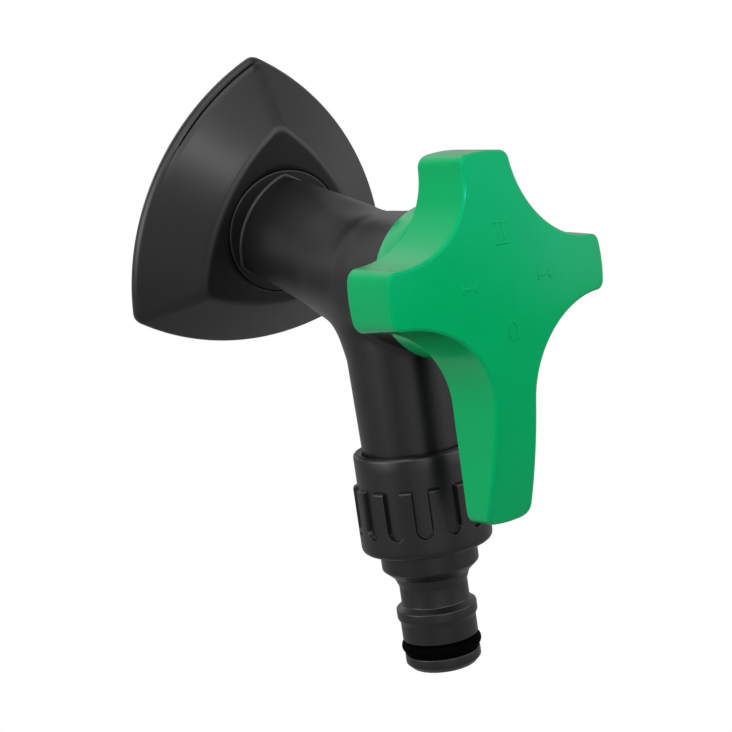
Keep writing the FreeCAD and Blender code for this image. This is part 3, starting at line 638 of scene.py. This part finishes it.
def foot_mesh():
    """Round foot, shank and the three-cornered root that the neck grows out of."""
    s = sizes("body")
    height = sizes("plate").height
    top = height + s.root_height
    under = height - s.foot_depth

    def root(grow, fillet, level):
        return three_corners(s.root_corner + grow * MM, s.root_side + grow * MM, fillet * MM, level)

    first = root(0.5, 1.5, height + 0.15 * MM)
    rings = [round_like(first, radius, level) for radius, level in (
        (8 * MM, 1.5 * MM), (s.shank - 0.2 * MM, 1.5 * MM), (s.shank, 1.7 * MM), (s.shank, under),
        (s.foot - 0.2 * MM, under), (s.foot, under + 0.2 * MM), (s.foot, height - 0.1 * MM),
        (s.foot - 0.06 * MM, height + 0.05 * MM), (s.foot - 0.2 * MM, height + 0.14 * MM),
        (s.foot - 0.4 * MM, height + 0.15 * MM))]
    rings.append(first)
    for grow, fillet, drop in ((0.5, 1.5, 0.5), (0.35, 1.35, 0.2), (0.1, 1.1, 0.03), (-0.4, 0.8, 0)):
        rings.append(root(grow, fillet, top - drop * MM))
    builder = Builder()
    builder.stack(rings)
    return builder.mesh("body_foot", WALL)


class TAP_OT_body(bpy.types.Operator):
    """Build the tap body with its soft joints, and its crisp foot"""
    bl_idname = "tap.body"
    bl_label = "Tap body"

    def execute(self, context):
        plastic = finish(satin_polypropylene)
        finish_mesh("tap_body_moulding", soft_body_mesh(), "tap", plastic, "tap_body",
                    sharp=radians(60))
        finish_mesh("body_foot", foot_mesh(), "tap", plastic, "tap_body")
        return {"FINISHED"}


# Handle

HOLLOW_REACH = 13.95 * MM
SHORT_END_HALF = 5.1 * MM
LONG_END_HALF = 4.6 * MM
WAIST_HALF = 4.5 * MM
WAIST = 22.3 * MM
ARM_CORNER = 1.5 * MM
ARM_END_BULGE = 0.5 * MM
# Outlines of the skirt over the housing's front, and of the hub, as radius, height and rounding in mm
SKIRT_OUTLINE = ((13.8, 19.2, 0), (15.0, 19.2, 0.3), (15.0, 25.0, 3.0), (13.2, 31.0, 0), (12.0, 31.0, 0),
                 (13.8, 25.0, 0))
HUB_OUTLINE = ((4.2, 27.4), (6.6, 27.4), (6.6, 38.8), (4.2, 38.8))
HANDLE_RIB_HALF = 0.7 * MM
HANDLE_RIB_BACK = 29 * MM
HANDLE_RIB_BORE = 4.5 * MM     # within this of the axis the ribs leave room for the spindle
HANDLE_RIB_OVER = 35.5 * MM
HANDLE_RIB_DEEP = 1.2 * MM


def arc_points(start, middle, end, count):
    """Points from start up to but not including end, on the circle through the three."""
    ax, ay = start
    bx, by = middle
    cx, cy = end
    d = 2 * (ax * (by - cy) + bx * (cy - ay) + cx * (ay - by))
    a, b, c = ax ** 2 + ay ** 2, bx ** 2 + by ** 2, cx ** 2 + cy ** 2
    ux = (a * (by - cy) + b * (cy - ay) + c * (ay - by)) / d
    uy = (a * (cx - bx) + b * (ax - cx) + c * (bx - ax)) / d
    first = atan2(ay - uy, ax - ux)
    last = atan2(cy - uy, cx - ux)
    through = atan2(by - uy, bx - ux)
    if (through - first) % (2 * pi) > (last - first) % (2 * pi):
        span = -((first - last) % (2 * pi))
    else:
        span = (last - first) % (2 * pi)
    radius = hypot(ax - ux, ay - uy)
    return [(ux + radius * cos(first + span * i / count), uy + radius * sin(first + span * i / count))
            for i in range(count)]


def star_outline():
    """Outline of the handle's front: three short arms and one long one, going left round from the top."""
    s = sizes("handle")
    hollow = HOLLOW_REACH / sqrt(2)

    def end(reach, half, angle):
        turned = Matrix.Rotation(angle, 2)
        low = reach - ARM_END_BULGE
        return [tuple(turned @ Vector(p)) for p in ((half, low), (0, reach), (-half, low))]

    top = end(s.short_arm, SHORT_END_HALF, 0)
    left = end(s.short_arm, SHORT_END_HALF, pi / 2)
    low = end(s.long_arm, LONG_END_HALF, pi)
    right = end(s.short_arm, SHORT_END_HALF, -pi / 2)
    waist_left = (-WAIST_HALF, -WAIST)
    waist_right = (WAIST_HALF, -WAIST)
    parts = (arc_points(*top, 24), arc_points(top[2], (-hollow, hollow), left[0], 48), arc_points(*left, 24),
             arc_points(left[2], (-hollow, -hollow), waist_left, 40), line_points(waist_left, low[0], 24),
             arc_points(*low, 24), line_points(low[2], waist_right, 24),
             arc_points(waist_right, (hollow, -hollow), right[0], 40), arc_points(*right, 24),
             arc_points(right[2], (hollow, hollow), top[0], 48))
    return round_corners(sum(parts, []), ARM_CORNER)


def line_points(start, end, count):
    return [(start[0] + (end[0] - start[0]) * i / count, start[1] + (end[1] - start[1]) * i / count)
            for i in range(count)]


def round_corners(points, radius):
    """Replace each sharp corner of a closed outline by an arc, on evenly spaced points."""
    count = len(points)
    result = []
    corners = []
    for i in range(count):
        a = Vector(points[i]) - Vector(points[i - 1])
        b = Vector(points[(i + 1) % count]) - Vector(points[i])
        if a.angle(b) > radians(30):
            corners.append(i)
    reach = radius * 1.05
    skip = set()
    arcs = {}
    for i in corners:
        tip = Vector(points[i])
        before = walk(points, i, -1, reach)
        after = walk(points, i, 1, reach)
        arcs[i] = [bend(before[0], tip, after[0], k / 10) for k in range(11)]
        skip.update(before[1])
        skip.update(after[1])
    for i in range(count):
        if i in arcs:
            result.extend(tuple(p) for p in arcs[i])
        elif i not in skip:
            result.append(points[i])
    return result


def walk(points, start, step, reach):
    """The point at this distance along an outline from one of its points, and the indices passed."""
    count = len(points)
    passed = []
    here = Vector(points[start])
    index = start
    left = reach
    while True:
        index = (index + step) % count
        there = Vector(points[index])
        gap = (there - here).length
        if gap >= left:
            return here + (there - here) * (left / gap), passed
        passed.append(index)
        left -= gap
        here = there


def outline_normals(points):
    """Outward unit normals of a closed outline that runs counterclockwise."""
    along = [Vector(b) - Vector(a) for a, b in zip(points[-1:] + points[:-1], points[1:] + points[:1])]
    return [Vector((a.y, -a.x)).normalized() for a in along]


def dome_height(x, y, inset=0.0):
    """Height of the handle's domed front, or of the dome this far inside it."""
    s = sizes("handle")
    return s.front - s.dome + sqrt((s.dome - inset) ** 2 - x * x - y * y)


def on_dome(points, lift=0.0, inset=0.0):
    return [(x, y, dome_height(x, y, inset) + lift) for x, y in points]


def handle_rings():
    """Rings of the hollow star, from the middle of its front round the edge to the middle of its inside."""
    s = sizes("handle")
    outline = star_outline()
    normals = outline_normals(outline)
    span = s.front - s.back

    def grown(grow, inset=0.0):
        """The outline where it meets the dome, which the draft widens as the dome falls away."""
        points = []
        for (x, y), n in zip(outline, normals):
            wide = grow + s.draft * (s.front - dome_height(x, y, inset)) / span
            points.append((x + n.x * wide, y + n.y * wide))
        return points

    def drafted(grow, height):
        wide = grow + s.draft * (s.front - height) / span
        return [(x + n.x * wide, y + n.y * wide, height) for (x, y), n in zip(outline, normals)]

    rings = []
    edge = s.edge
    inner = grown(-edge)
    for share in (0.02, 0.08, 0.16, 0.25, 0.35, 0.45, 0.55, 0.65, 0.75, 0.84, 0.91, 0.96, 0.985, 1.0):
        rings.append(on_dome([(x * share, y * share) for x, y in inner]))
    # A narrow bevel with two small roundings, which catch the light as a double line
    for inset, drop in ((0.9, 0.015), (0.8, 0.06), (0.7, 0.14), (0.15, 0.66), (0.07, 0.76), (0.02, 0.88),
                        (0, 1.05)):
        rings.append(on_dome(grown(-edge * inset), -edge * drop))
    side_top = rings[-1]
    low = drafted(0, s.back)
    rings.extend(between(side_top, low, share) for share in (0.15, 0.35, 0.6, 0.85))
    for grow, lift in ((0, 0.3 * MM), (-0.3 * MM, 0), (-s.wall + 0.2 * MM, 0), (-s.wall, 0.2 * MM)):
        rings.append(drafted(grow, s.back + lift))
    inner = grown(-s.wall, s.wall)
    for share in (1.0, 0.9, 0.7, 0.5, 0.3, 0.1, 0.02):
        rings.append(on_dome([(x * share, y * share) for x, y in inner], inset=s.wall))
    return rings


def star_handle_mesh():
    s = sizes("handle")
    builder = Builder()
    builder.stack(handle_rings())
    revolve(builder, rounded(in_metres(SKIRT_OUTLINE)))
    revolve(builder, in_metres(HUB_OUTLINE), count=64)
    half = HANDLE_RIB_HALF
    steps = 16
    arm = s.short_arm - MM
    for start, upright in ((-arm, False), (-s.long_arm + MM, True)):
        rings = []
        for i in range(steps + 1):
            d = start + (arm - start) * i / steps
            top = dome_height(d, 0, HANDLE_RIB_DEEP)
            low = HANDLE_RIB_OVER if abs(d) < HANDLE_RIB_BORE else HANDLE_RIB_BACK
            corners = ((half, low), (half, top), (-half, top), (-half, low))
            rings.append([(u, d, h) if upright else (d, u, h) for u, h in corners])
        builder.stack(rings)
    return builder.mesh("star_handle", VALVE)


MARK_REACH = 8.8 * MM
MARK_HALF_WIDTH = 0.24 * MM
MARK_RISE = 0.09 * MM
# Section of a mark's edge from its foot to its top: growth of the outline in mm, and share of the rise
MARK_EDGE = ((0.04, -0.1), (0.04, 0.3), (0.0, 0.85), (-0.06, 1.0))
NOUGHT_INSIDE = ((-0.42, 1.0), (-0.48, 0.85), (-0.52, 0.3), (-0.52, -0.1))
NOUGHT_HALF_WIDTH = 1.2
NOUGHT_HALF_HEIGHT = 1.9


def raised_bar(builder, start, end):
    """A round-ended bar that stands a little proud of the handle's front."""
    heading = atan2(end[1] - start[1], end[0] - start[0])
    turns = [(middle, heading + first + pi * i / 8)
             for middle, first in ((end, -pi / 2), (start, pi / 2)) for i in range(9)]
    rings = []
    for grow, lift in MARK_EDGE:
        radius = MARK_HALF_WIDTH + grow * MM
        points = [(middle[0] + radius * cos(a), middle[1] + radius * sin(a)) for middle, a in turns]
        rings.append(on_dome(points, lift * MARK_RISE))
    builder.stack(rings)


def roman_bars(count, centre, heading, half_height, spacing):
    """Start and end points of upright bars with serifs, turned to a heading."""
    turn = Matrix.Rotation(heading, 2)
    bars = []
    for i in range(count):
        x = (i - (count - 1) / 2) * spacing
        bars.append(((x, -half_height), (x, half_height)))
    reach = (count - 1) / 2 * spacing + 0.65 * MM
    for y in (-half_height, half_height):
        bars.append(((-reach, y), (reach, y)))
    return [tuple(tuple(turn @ Vector(p) + Vector(centre)) for p in bar) for bar in bars]


def handle_marks_mesh():
    """Plain marks of the four positions: two at the top, one at each side and nought at the bottom."""
    builder = Builder()
    marks = roman_bars(2, (0, MARK_REACH), 0, 1.9 * MM, 1.1 * MM)
    for side in (-MARK_REACH, MARK_REACH):
        marks += roman_bars(1, (side * 0.92, 0), pi / 2, 1.3 * MM, 0)
    for start, end in marks:
        raised_bar(builder, start, end)
    rings = []
    for grow, lift in MARK_EDGE + NOUGHT_INSIDE:
        wide = (NOUGHT_HALF_WIDTH + grow) * MM
        high = (NOUGHT_HALF_HEIGHT + grow) * MM
        points = [(wide * x, high * y - MARK_REACH) for x, y, _ in circle(1, 0, 48)]
        rings.append(on_dome(points, lift * MARK_RISE))
    builder.stack(rings, closed=True)
    return builder.mesh("handle_marks", VALVE)


class TAP_OT_handle(bpy.types.Operator):
    """Build the star handle with its skirt, hub, ribs and marks"""
    bl_idname = "tap.handle"
    bl_label = "Handle"

    def execute(self, context):
        plastic = finish(gloss_abs)
        finish_mesh("star_handle", star_handle_mesh(), "valve", plastic, "handle",
                    sharp=radians(35))
        finish_mesh("handle_marks", handle_marks_mesh(), "valve", plastic, "handle")
        return {"FINISHED"}


# Hose connector, with heights down the leg from the elbow

COLLAR_TOP = 33.8 * MM
GRIP_TOP = 40.5 * MM
GRIP_STEP = 0.5 * MM           # height of the rounding from the collar to the grip
RECESS_WALL = 0.2 * MM
CONNECTOR_BORE = 10.69 * MM
SECTOR_COLUMNS = 58
# Outline of the nose as radius, height and rounding in mm: flange, cone, neck, ridge, barrel, groove and tip
NOSE_OUTLINE = (
    (4.2, 52.0, 0), (8.5, 52.0, 0), (8.5, 54.1, 0), (9.93, 54.1, 0), (9.93, 58.4, 0.6), (7.8, 60.3, 0.4),
    (7.0, 62.3, 1.5), (7.0, 66.1, 0.4), (8.25, 67.1, 0.4), (8.25, 68.9, 0.4), (7.75, 69.9, 0.3),
    (7.75, 73.58, 0.2), (5.6, 73.58, 0), (5.6, 76.63, 0), (7.75, 76.63, 0.3), (7.75, 78.5, 0.4),
    (6.7, 79.6, 0.3), (4.4, 79.6, 0.2), (4.2, 79.4, 0))


def recess_distance(across, down):
    """Signed distance outside a grip recess, whose lower end is round; negative inside."""
    s = sizes("connector")
    half = s.recess_width / 2
    low = s.recess_length - half
    if down > low:
        return hypot(across, down - low) - half
    return abs(across) - half


def smooth_step(value):
    t = min(1.0, max(0.0, value))
    return t * t * (3 - 2 * t)


def grip_sector_mesh():
    """One sector of the collar and grip with half a land on each side of its recess."""
    s = sizes("connector")
    half = pi / s.recess_count
    angles = [-half + 2 * half * i / SECTOR_COLUMNS for i in range(SECTOR_COLUMNS + 1)]
    vertices = []

    def add_row(radii, height):
        vertices.extend((r * sin(a), r * cos(a), height) for r, a in zip(radii, angles))

    def add_plain(outline):
        for radius, height in outline:
            add_row([radius] * len(angles), height)

    def add_recessed(share, height):
        """A row of the grip at this share of its full rise over the collar."""
        rise = (s.grip - s.collar) * share
        off = [recess_distance(s.grip * a, height - GRIP_TOP) for a in angles]
        add_row([s.collar + rise * smooth_step(d / RECESS_WALL + 0.5) for d in off], height)

    add_plain((s.collar + r * MM, COLLAR_TOP + h * MM)
              for r, h in ((-0.7, 0), (-0.4, 0.1), (-0.1, 0.4), (0, 0.8), (0, 3)))
    add_plain([(s.collar, GRIP_TOP - 0.2 * MM)])
    for a in (i / 6 * pi / 2 for i in range(7)):
        add_recessed(0.45 + 0.55 * sin(a), GRIP_TOP + GRIP_STEP * (1 - cos(a)))
    for i in range(1, 85):
        add_recessed(1.0, GRIP_TOP + GRIP_STEP + 10.5 * MM * i / 84)
    add_plain(rounded([(s.grip, 51.5 * MM, 0), (s.grip, 54.2 * MM, 1.7 * MM), (9.8 * MM, 54.5 * MM, 0)], 8))
    add_plain(((CONNECTOR_BORE, 50.5 * MM), (CONNECTOR_BORE, COLLAR_TOP + 0.3 * MM),
               (s.collar - 1.2 * MM, COLLAR_TOP)))
    width = len(angles)
    rows = len(vertices) // width
    faces = []
    for row in range(rows):
        below = (row + 1) % rows
        for i in range(SECTOR_COLUMNS):
            faces.append((row * width + i, row * width + i + 1, below * width + i + 1, below * width + i))
    mesh = bpy.data.meshes.new("grip_sector")
    mesh.from_pydata(vertices, [], faces)
    return mesh


def repeat_tree():
    """Geometry Nodes that set copies of a sector evenly round its Z axis and join their seams."""
    tree, given, sockets = node_group("repeat_round", {
        "Geometry": "Geometry", "Count": "Int", "Phase": "Float", "Material": "Material"})
    points = node(tree, "GeometryNodePoints", {"Count": given["Count"]})
    index = node(tree, "GeometryNodeInputIndex").outputs[0]
    share = maths(tree, "DIVIDE", index, given["Count"])
    angle = maths(tree, "MULTIPLY_ADD", share, 2 * pi, given["Phase"])
    turn = node(tree, "ShaderNodeCombineXYZ", {"Z": angle})
    copies = node(tree, "GeometryNodeInstanceOnPoints",
                  {"Points": points.outputs[0], "Instance": given["Geometry"], "Rotation": turn.outputs[0]})
    real = node(tree, "GeometryNodeRealizeInstances", {0: copies.outputs[0]})
    joined = node(tree, "GeometryNodeMergeByDistance", {"Geometry": real.outputs[0], "Distance": 0.001 * MM})
    hand_out(tree, joined.outputs[0], given["Material"])
    return tree, sockets


def through_nodes(mesh, tree, values):
    """Run a mesh through Geometry Nodes and hand back the plain result."""
    piece = new_object("before_nodes", mesh)
    modifier = piece.modifiers.new("nodes", "NODES")
    modifier.node_group = tree
    for identifier, value in values.items():
        modifier[identifier] = value
    return with_modifiers(piece)


class TAP_OT_connector(bpy.types.Operator):
    """Build the connector's grip from one repeated sector, and its nose"""
    bl_idname = "tap.connector"
    bl_label = "Hose connector"

    def execute(self, context):
        s = sizes("connector")
        plastic = finish(satin_polypropylene)
        tree, sockets = repeat_tree()
        grip = through_nodes(grip_sector_mesh(), tree, {
            sockets["Count"]: s.recess_count, sockets["Phase"]: s.phase, sockets["Material"]: plastic})
        grip.transform(LEG)
        nose = Builder()
        revolve(nose, rounded(in_metres(NOSE_OUTLINE)), count=144)
        nose = nose.mesh("connector_nose", LEG)
        for name, mesh in (("connector_grip", outwards(grip)), ("connector_nose", nose)):
            finish_mesh(name, mesh, "connector", plastic, "hose_connector")
        return {"FINISHED"}


# Seals and the inlet

RING_MIDDLE = 6.875 * MM
RING_SECTION = 2.65 * MM
RING_CENTRE = 75.1 * MM
THREAD_SUNK = 0.1 * MM         # how far the thread's root reaches into the core
SEAL_BACK = 0.3 * MM
SEAL_FRONT = 1.5 * MM
SEAL_RADIUS = 12.6 * MM
ROOT_RADIUS = 9 * MM
ROOT_END = 11.9 * MM


def thread_tree():
    """Geometry Nodes that sweep a V along a helix, for a screw thread about Z."""
    tree, given, sockets = node_group("screw_thread", {
        "Root Radius": "Float", "Pitch": "Float", "Turns": "Float", "Depth": "Float", "Material": "Material"})
    rise = maths(tree, "MULTIPLY", given["Pitch"], given["Turns"])
    helix = node(tree, "GeometryNodeCurveSpiral",
                 {"Resolution": 72, "Rotations": given["Turns"], "Start Radius": given["Root Radius"],
                  "End Radius": given["Root Radius"], "Height": rise})
    level = node(tree, "GeometryNodeSetCurveNormal", {"Curve": helix.outputs[0]}, mode="Z_UP")
    section = node(tree, "GeometryNodeCurvePrimitiveCircle", {"Resolution": 3, "Radius": given["Depth"]})
    # Half a turn, so that the V points away from the axis
    turned = node(tree, "GeometryNodeTransform", {"Geometry": section.outputs[0], "Rotation": (0, 0, pi)})
    swept = node(tree, "GeometryNodeCurveToMesh",
                 {"Curve": level.outputs[0], "Profile Curve": turned.outputs[0], "Fill Caps": True})
    hand_out(tree, swept.outputs[0], given["Material"])
    return tree, sockets


class TAP_OT_inlet(bpy.types.Operator):
    """Build the threaded inlet nipple and its flat seal"""
    bl_idname = "tap.inlet"
    bl_label = "Inlet"

    def execute(self, context):
        s = sizes("thread")
        brass = finish(turned_brass)
        root = s.crest - s.depth
        builder = Builder()
        core = [(s.bore, -s.length + 0.5 * MM, 0), (s.bore + 0.5 * MM, -s.length, 0),
                (root - 0.2 * MM, -s.length, 0), (root, -s.length + 0.4 * MM, 0), (root, 0.1 * MM, 0),
                (s.relief, 0.1 * MM, 0), (s.relief, SEAL_FRONT, 0), (ROOT_RADIUS, SEAL_FRONT, 0),
                (ROOT_RADIUS, ROOT_END, 0), (s.bore, ROOT_END, 0)]
        revolve(builder, rounded(core))
        finish_mesh("inlet_core", builder.mesh("inlet_core", WALL), "tap", brass, "inlet_nipple")
        tree, sockets = thread_tree()
        values = {"Root Radius": root - THREAD_SUNK, "Depth": s.depth + THREAD_SUNK, "Pitch": s.pitch,
                  "Turns": (s.length - 2.3 * MM) / s.pitch, "Material": brass}
        swept = through_nodes(bpy.data.meshes.new("thread"), tree,
                              {sockets[name]: value for name, value in values.items()})
        swept.transform(Matrix.Translation((0, 0, -s.length + 1.2 * MM)))
        swept.transform(WALL)
        finish_mesh("inlet_thread", outwards(swept), "tap", brass, "inlet_nipple")
        seal = Builder()
        inner = s.relief + 0.02 * MM
        revolve(seal, rounded([(inner, SEAL_BACK, 0), (SEAL_RADIUS, SEAL_BACK, 0.3 * MM),
                               (SEAL_RADIUS, SEAL_FRONT, 0.2 * MM), (inner, SEAL_FRONT, 0)]))
        finish_mesh("inlet_seal_ring", seal.mesh("inlet_seal_ring", WALL), "tap",
                    finish(epdm_rubber), "inlet_seal")
        return {"FINISHED"}


class TAP_OT_nose_ring(bpy.types.Operator):
    """Build the sealing ring near the nose's end"""
    bl_idname = "tap.nose_ring"
    bl_label = "Nose ring"

    def execute(self, context):
        builder = Builder()
        builder.stack([circle(RING_MIDDLE + x, RING_CENTRE + y, 144)
                       for x, y, _ in circle(RING_SECTION / 2, 0, 28)], closed=True)
        finish_mesh("nose_sealing_ring", builder.mesh("nose_sealing_ring", LEG), "connector",
                    finish(epdm_rubber), "nose_ring")
        return {"FINISHED"}


class TAP_OT_inner_parts(bpy.types.Operator):
    """Give the hidden valve parts their materials"""
    bl_idname = "tap.inner_parts"
    bl_label = "Inner parts"

    makers = {
        "headwork_body": turned_brass, "spindle": turned_brass, "fixed_disc": lapped_alumina,
        "moving_disc": lapped_alumina, "circlip": spring_steel, "handle_clip": spring_steel,
        "seal_support": natural_acetal, "thrust_washer": natural_acetal, "headwork_ring": epdm_rubber,
        "seat_seal": epdm_rubber, "spindle_rings": epdm_rubber, "connector_washer": epdm_rubber,
    }

    def execute(self, context):
        for name, maker in self.makers.items():
            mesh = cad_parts[name].data
            mesh.materials.clear()
            mesh.materials.append(finish(maker))
        return {"FINISHED"}


# Stage, lights and camera

LAMP_PLACE = Vector((-0.52, -0.4, 0.52))
LAMP_AIM = Vector((0, -0.09, 0))
LAMP_SIZE = 0.07
LAMP_POWER = 0.55


def edge_light():
    """A small round lamp, up on the left, for the bright lines along the edges."""
    data = bpy.data.lights.new("edge_light", "AREA")
    data.shape = "DISK"
    data.size = LAMP_SIZE
    data.energy = LAMP_POWER
    lamp = new_object("edge_light", data)
    lamp.location = LAMP_PLACE
    lamp.rotation_euler = (LAMP_AIM - LAMP_PLACE).to_track_quat("-Z", "Y").to_euler()


# Soft boxes of the studio, with their direction and strength, and the cosines where each begins and is full
LOBES = (((-0.97, 0.26, 0.05), 2.64), ((-0.11, -0.85, 0.52), 2.05), ((-0.89, 0.04, 0.45), 1.44),
         ((-0.5, -0.09, 0.86), 1.08), ((-0.51, -0.81, -0.3), 1.0), ((0.89, -0.41, 0.17), 0.96),
         ((-0.22, 0.2, 0.95), 0.88), ((0.64, -0.64, 0.42), 0.84), ((-0.17, 0.95, -0.27), 0.72),
         ((0.31, -0.67, 0.67), 0.62), ((-0.97, -0.09, -0.2), 0.6), ((-0.04, 0.92, 0.39), 0.4),
         ((0.64, 0.23, 0.73), 0.3), ((0.88, 0.46, 0.08), 0.29), ((0.17, 0.98, -0.02), 0.24))
LOBE_BEGINS = 0.85
LOBE_FULL = 0.985
ROOM_LEVEL = 0.28
FLOOR_GREY = 0.33
FLOOR_HALF = 3.0
FLOOR_LEVEL = -0.16


def studio_world():
    """White to the camera, and soft boxes round the object in a dim room."""
    world = bpy.data.worlds.new("studio")
    world.use_nodes = True
    tree = world.node_tree
    tree.nodes.clear()
    rays = node(tree, "ShaderNodeLightPath")
    direction = node(tree, "ShaderNodeTexCoord").outputs["Generated"]
    room = node(tree, "ShaderNodeValue").outputs[0]
    room.default_value = ROOM_LEVEL
    for toward, strength in LOBES:
        share = node(tree, "ShaderNodeVectorMath", {0: direction, 1: Vector(toward).normalized()},
                     operation="DOT_PRODUCT")
        lobe = node(tree, "ShaderNodeMapRange",
                    {"Value": share.outputs["Value"], "From Min": LOBE_BEGINS, "From Max": LOBE_FULL,
                     "To Max": strength}, interpolation_type="SMOOTHSTEP")
        room = maths(tree, "ADD", room, lobe.outputs[0])
    strength = node(tree, "ShaderNodeMix", {"Factor": rays.outputs["Is Camera Ray"], "A": room, "B": 1.0},
                    data_type="FLOAT")
    back = node(tree, "ShaderNodeBackground", {"Color": (1, 1, 1, 1), "Strength": strength.outputs[0]})
    node(tree, "ShaderNodeOutputWorld", {"Surface": back.outputs[0]})
    bpy.context.scene.world = world


def white_floor():
    """A floor that is plain white to the camera, so without a shadow, and pale and matte to all other rays."""
    material, tree = new_material("pale_floor")
    rays = node(tree, "ShaderNodeLightPath")
    glow = node(tree, "ShaderNodeEmission", {"Color": (1, 1, 1, 1), "Strength": 1.0})
    matte = node(tree, "ShaderNodeBsdfDiffuse", {"Color": (FLOOR_GREY, FLOOR_GREY, FLOOR_GREY, 1)})
    mix = node(tree, "ShaderNodeMixShader", {"Fac": rays.outputs["Is Camera Ray"], 1: matte.outputs[0],
                                             2: glow.outputs[0]})
    node(tree, "ShaderNodeOutputMaterial", {"Surface": mix.outputs[0]})
    mesh = bpy.data.meshes.new("floor")
    corners = [(x * FLOOR_HALF, y * FLOOR_HALF, FLOOR_LEVEL) for x, y in ((-1, -1), (1, -1), (1, 1), (-1, 1))]
    mesh.from_pydata(corners, [], [(0, 1, 2, 3)])
    mesh.materials.append(material)
    new_object("floor", mesh)


# The camera that was fitted to the photograph
AZIMUTH = radians(-30.826)
ELEVATION = radians(20.371)
ROLL = radians(-1.161)
DISTANCE = 0.339918
FOCAL_PIXELS = 1595.1
AIM = Vector((0, -0.0276, 0))
SHIFT = (0.009771, -0.025838)
FRAME_PIXELS = 732
SENSOR_WIDTH = 36


def photograph_camera():
    """Camera at the photograph's place, with the focal length fitted to its frame."""
    back = Vector((sin(AZIMUTH) * cos(ELEVATION), -cos(AZIMUTH) * cos(ELEVATION),
                   sin(ELEVATION)))
    right = (-back).cross(Vector((0, 0, 1))).normalized()
    up = right.cross(-back)
    place = AIM + right * SHIFT[0] + up * SHIFT[1] + back * DISTANCE
    rolled_right = right * cos(ROLL) + up * sin(ROLL)
    rolled_up = up * cos(ROLL) - right * sin(ROLL)
    data = bpy.data.cameras.new("photograph")
    data.sensor_width = SENSOR_WIDTH
    data.lens = FOCAL_PIXELS / FRAME_PIXELS * SENSOR_WIDTH
    data.clip_start = 0.01
    camera = new_object("photograph", data)
    turn = Matrix((rolled_right, rolled_up, back)).transposed()
    camera.matrix_world = Matrix.Translation(place) @ turn.to_4x4()
    bpy.context.scene.camera = camera


class TAP_OT_stage(bpy.types.Operator):
    """Set up the floor, the lights and the camera"""
    bl_idname = "tap.stage"
    bl_label = "Stage"

    def execute(self, context):
        studio_world()
        white_floor()
        photograph_camera()
        edge_light()
        context.scene.view_settings.view_transform = "Standard"
        return {"FINISHED"}


# Panel and registration

class TAP_PT_panel(bpy.types.Panel):
    """The tap's pieces and sizes"""
    bl_idname = "TAP_PT_panel"
    bl_label = "Garden tap"
    bl_space_type = "VIEW_3D"
    bl_region_type = "UI"
    bl_category = "Tap"

    def draw(self, context):
        for operator in OPERATORS:
            self.layout.operator(operator.bl_idname)
        for kind, group in GROUPS.items():
            box = self.layout.box()
            box.label(text=group.__name__)
            for name in group.__annotations__:
                box.prop(sizes(kind), name, text=name.replace("_", " ").capitalize())


GROUPS = {"plate": PlateSizes, "body": BodySizes, "handle": HandleSizes, "connector": ConnectorSizes,
          "thread": ThreadSizes, "finishes": Finishes}
OPERATORS = (TAP_OT_stage, TAP_OT_wall_plate, TAP_OT_body, TAP_OT_handle, TAP_OT_connector, TAP_OT_nose_ring,
             TAP_OT_inlet, TAP_OT_inner_parts)
CLASSES = (*GROUPS.values(), *OPERATORS, TAP_PT_panel)


def register():
    for made in CLASSES:
        bpy.utils.register_class(made)
    for kind, group in GROUPS.items():
        setattr(bpy.types.Scene, "tap_" + kind, bpy.props.PointerProperty(type=group))


def unregister():
    for kind in GROUPS:
        delattr(bpy.types.Scene, "tap_" + kind)
    for made in reversed(CLASSES):
        bpy.utils.unregister_class(made)


def main():
    register()
    bpy.ops.tap.stage()
    bpy.ops.tap.wall_plate()
    bpy.ops.tap.body()
    bpy.ops.tap.handle()
    bpy.ops.tap.connector()
    bpy.ops.tap.nose_ring()
    bpy.ops.tap.inlet()
    bpy.ops.tap.inner_parts()


if __name__ == "__main__":
    main()
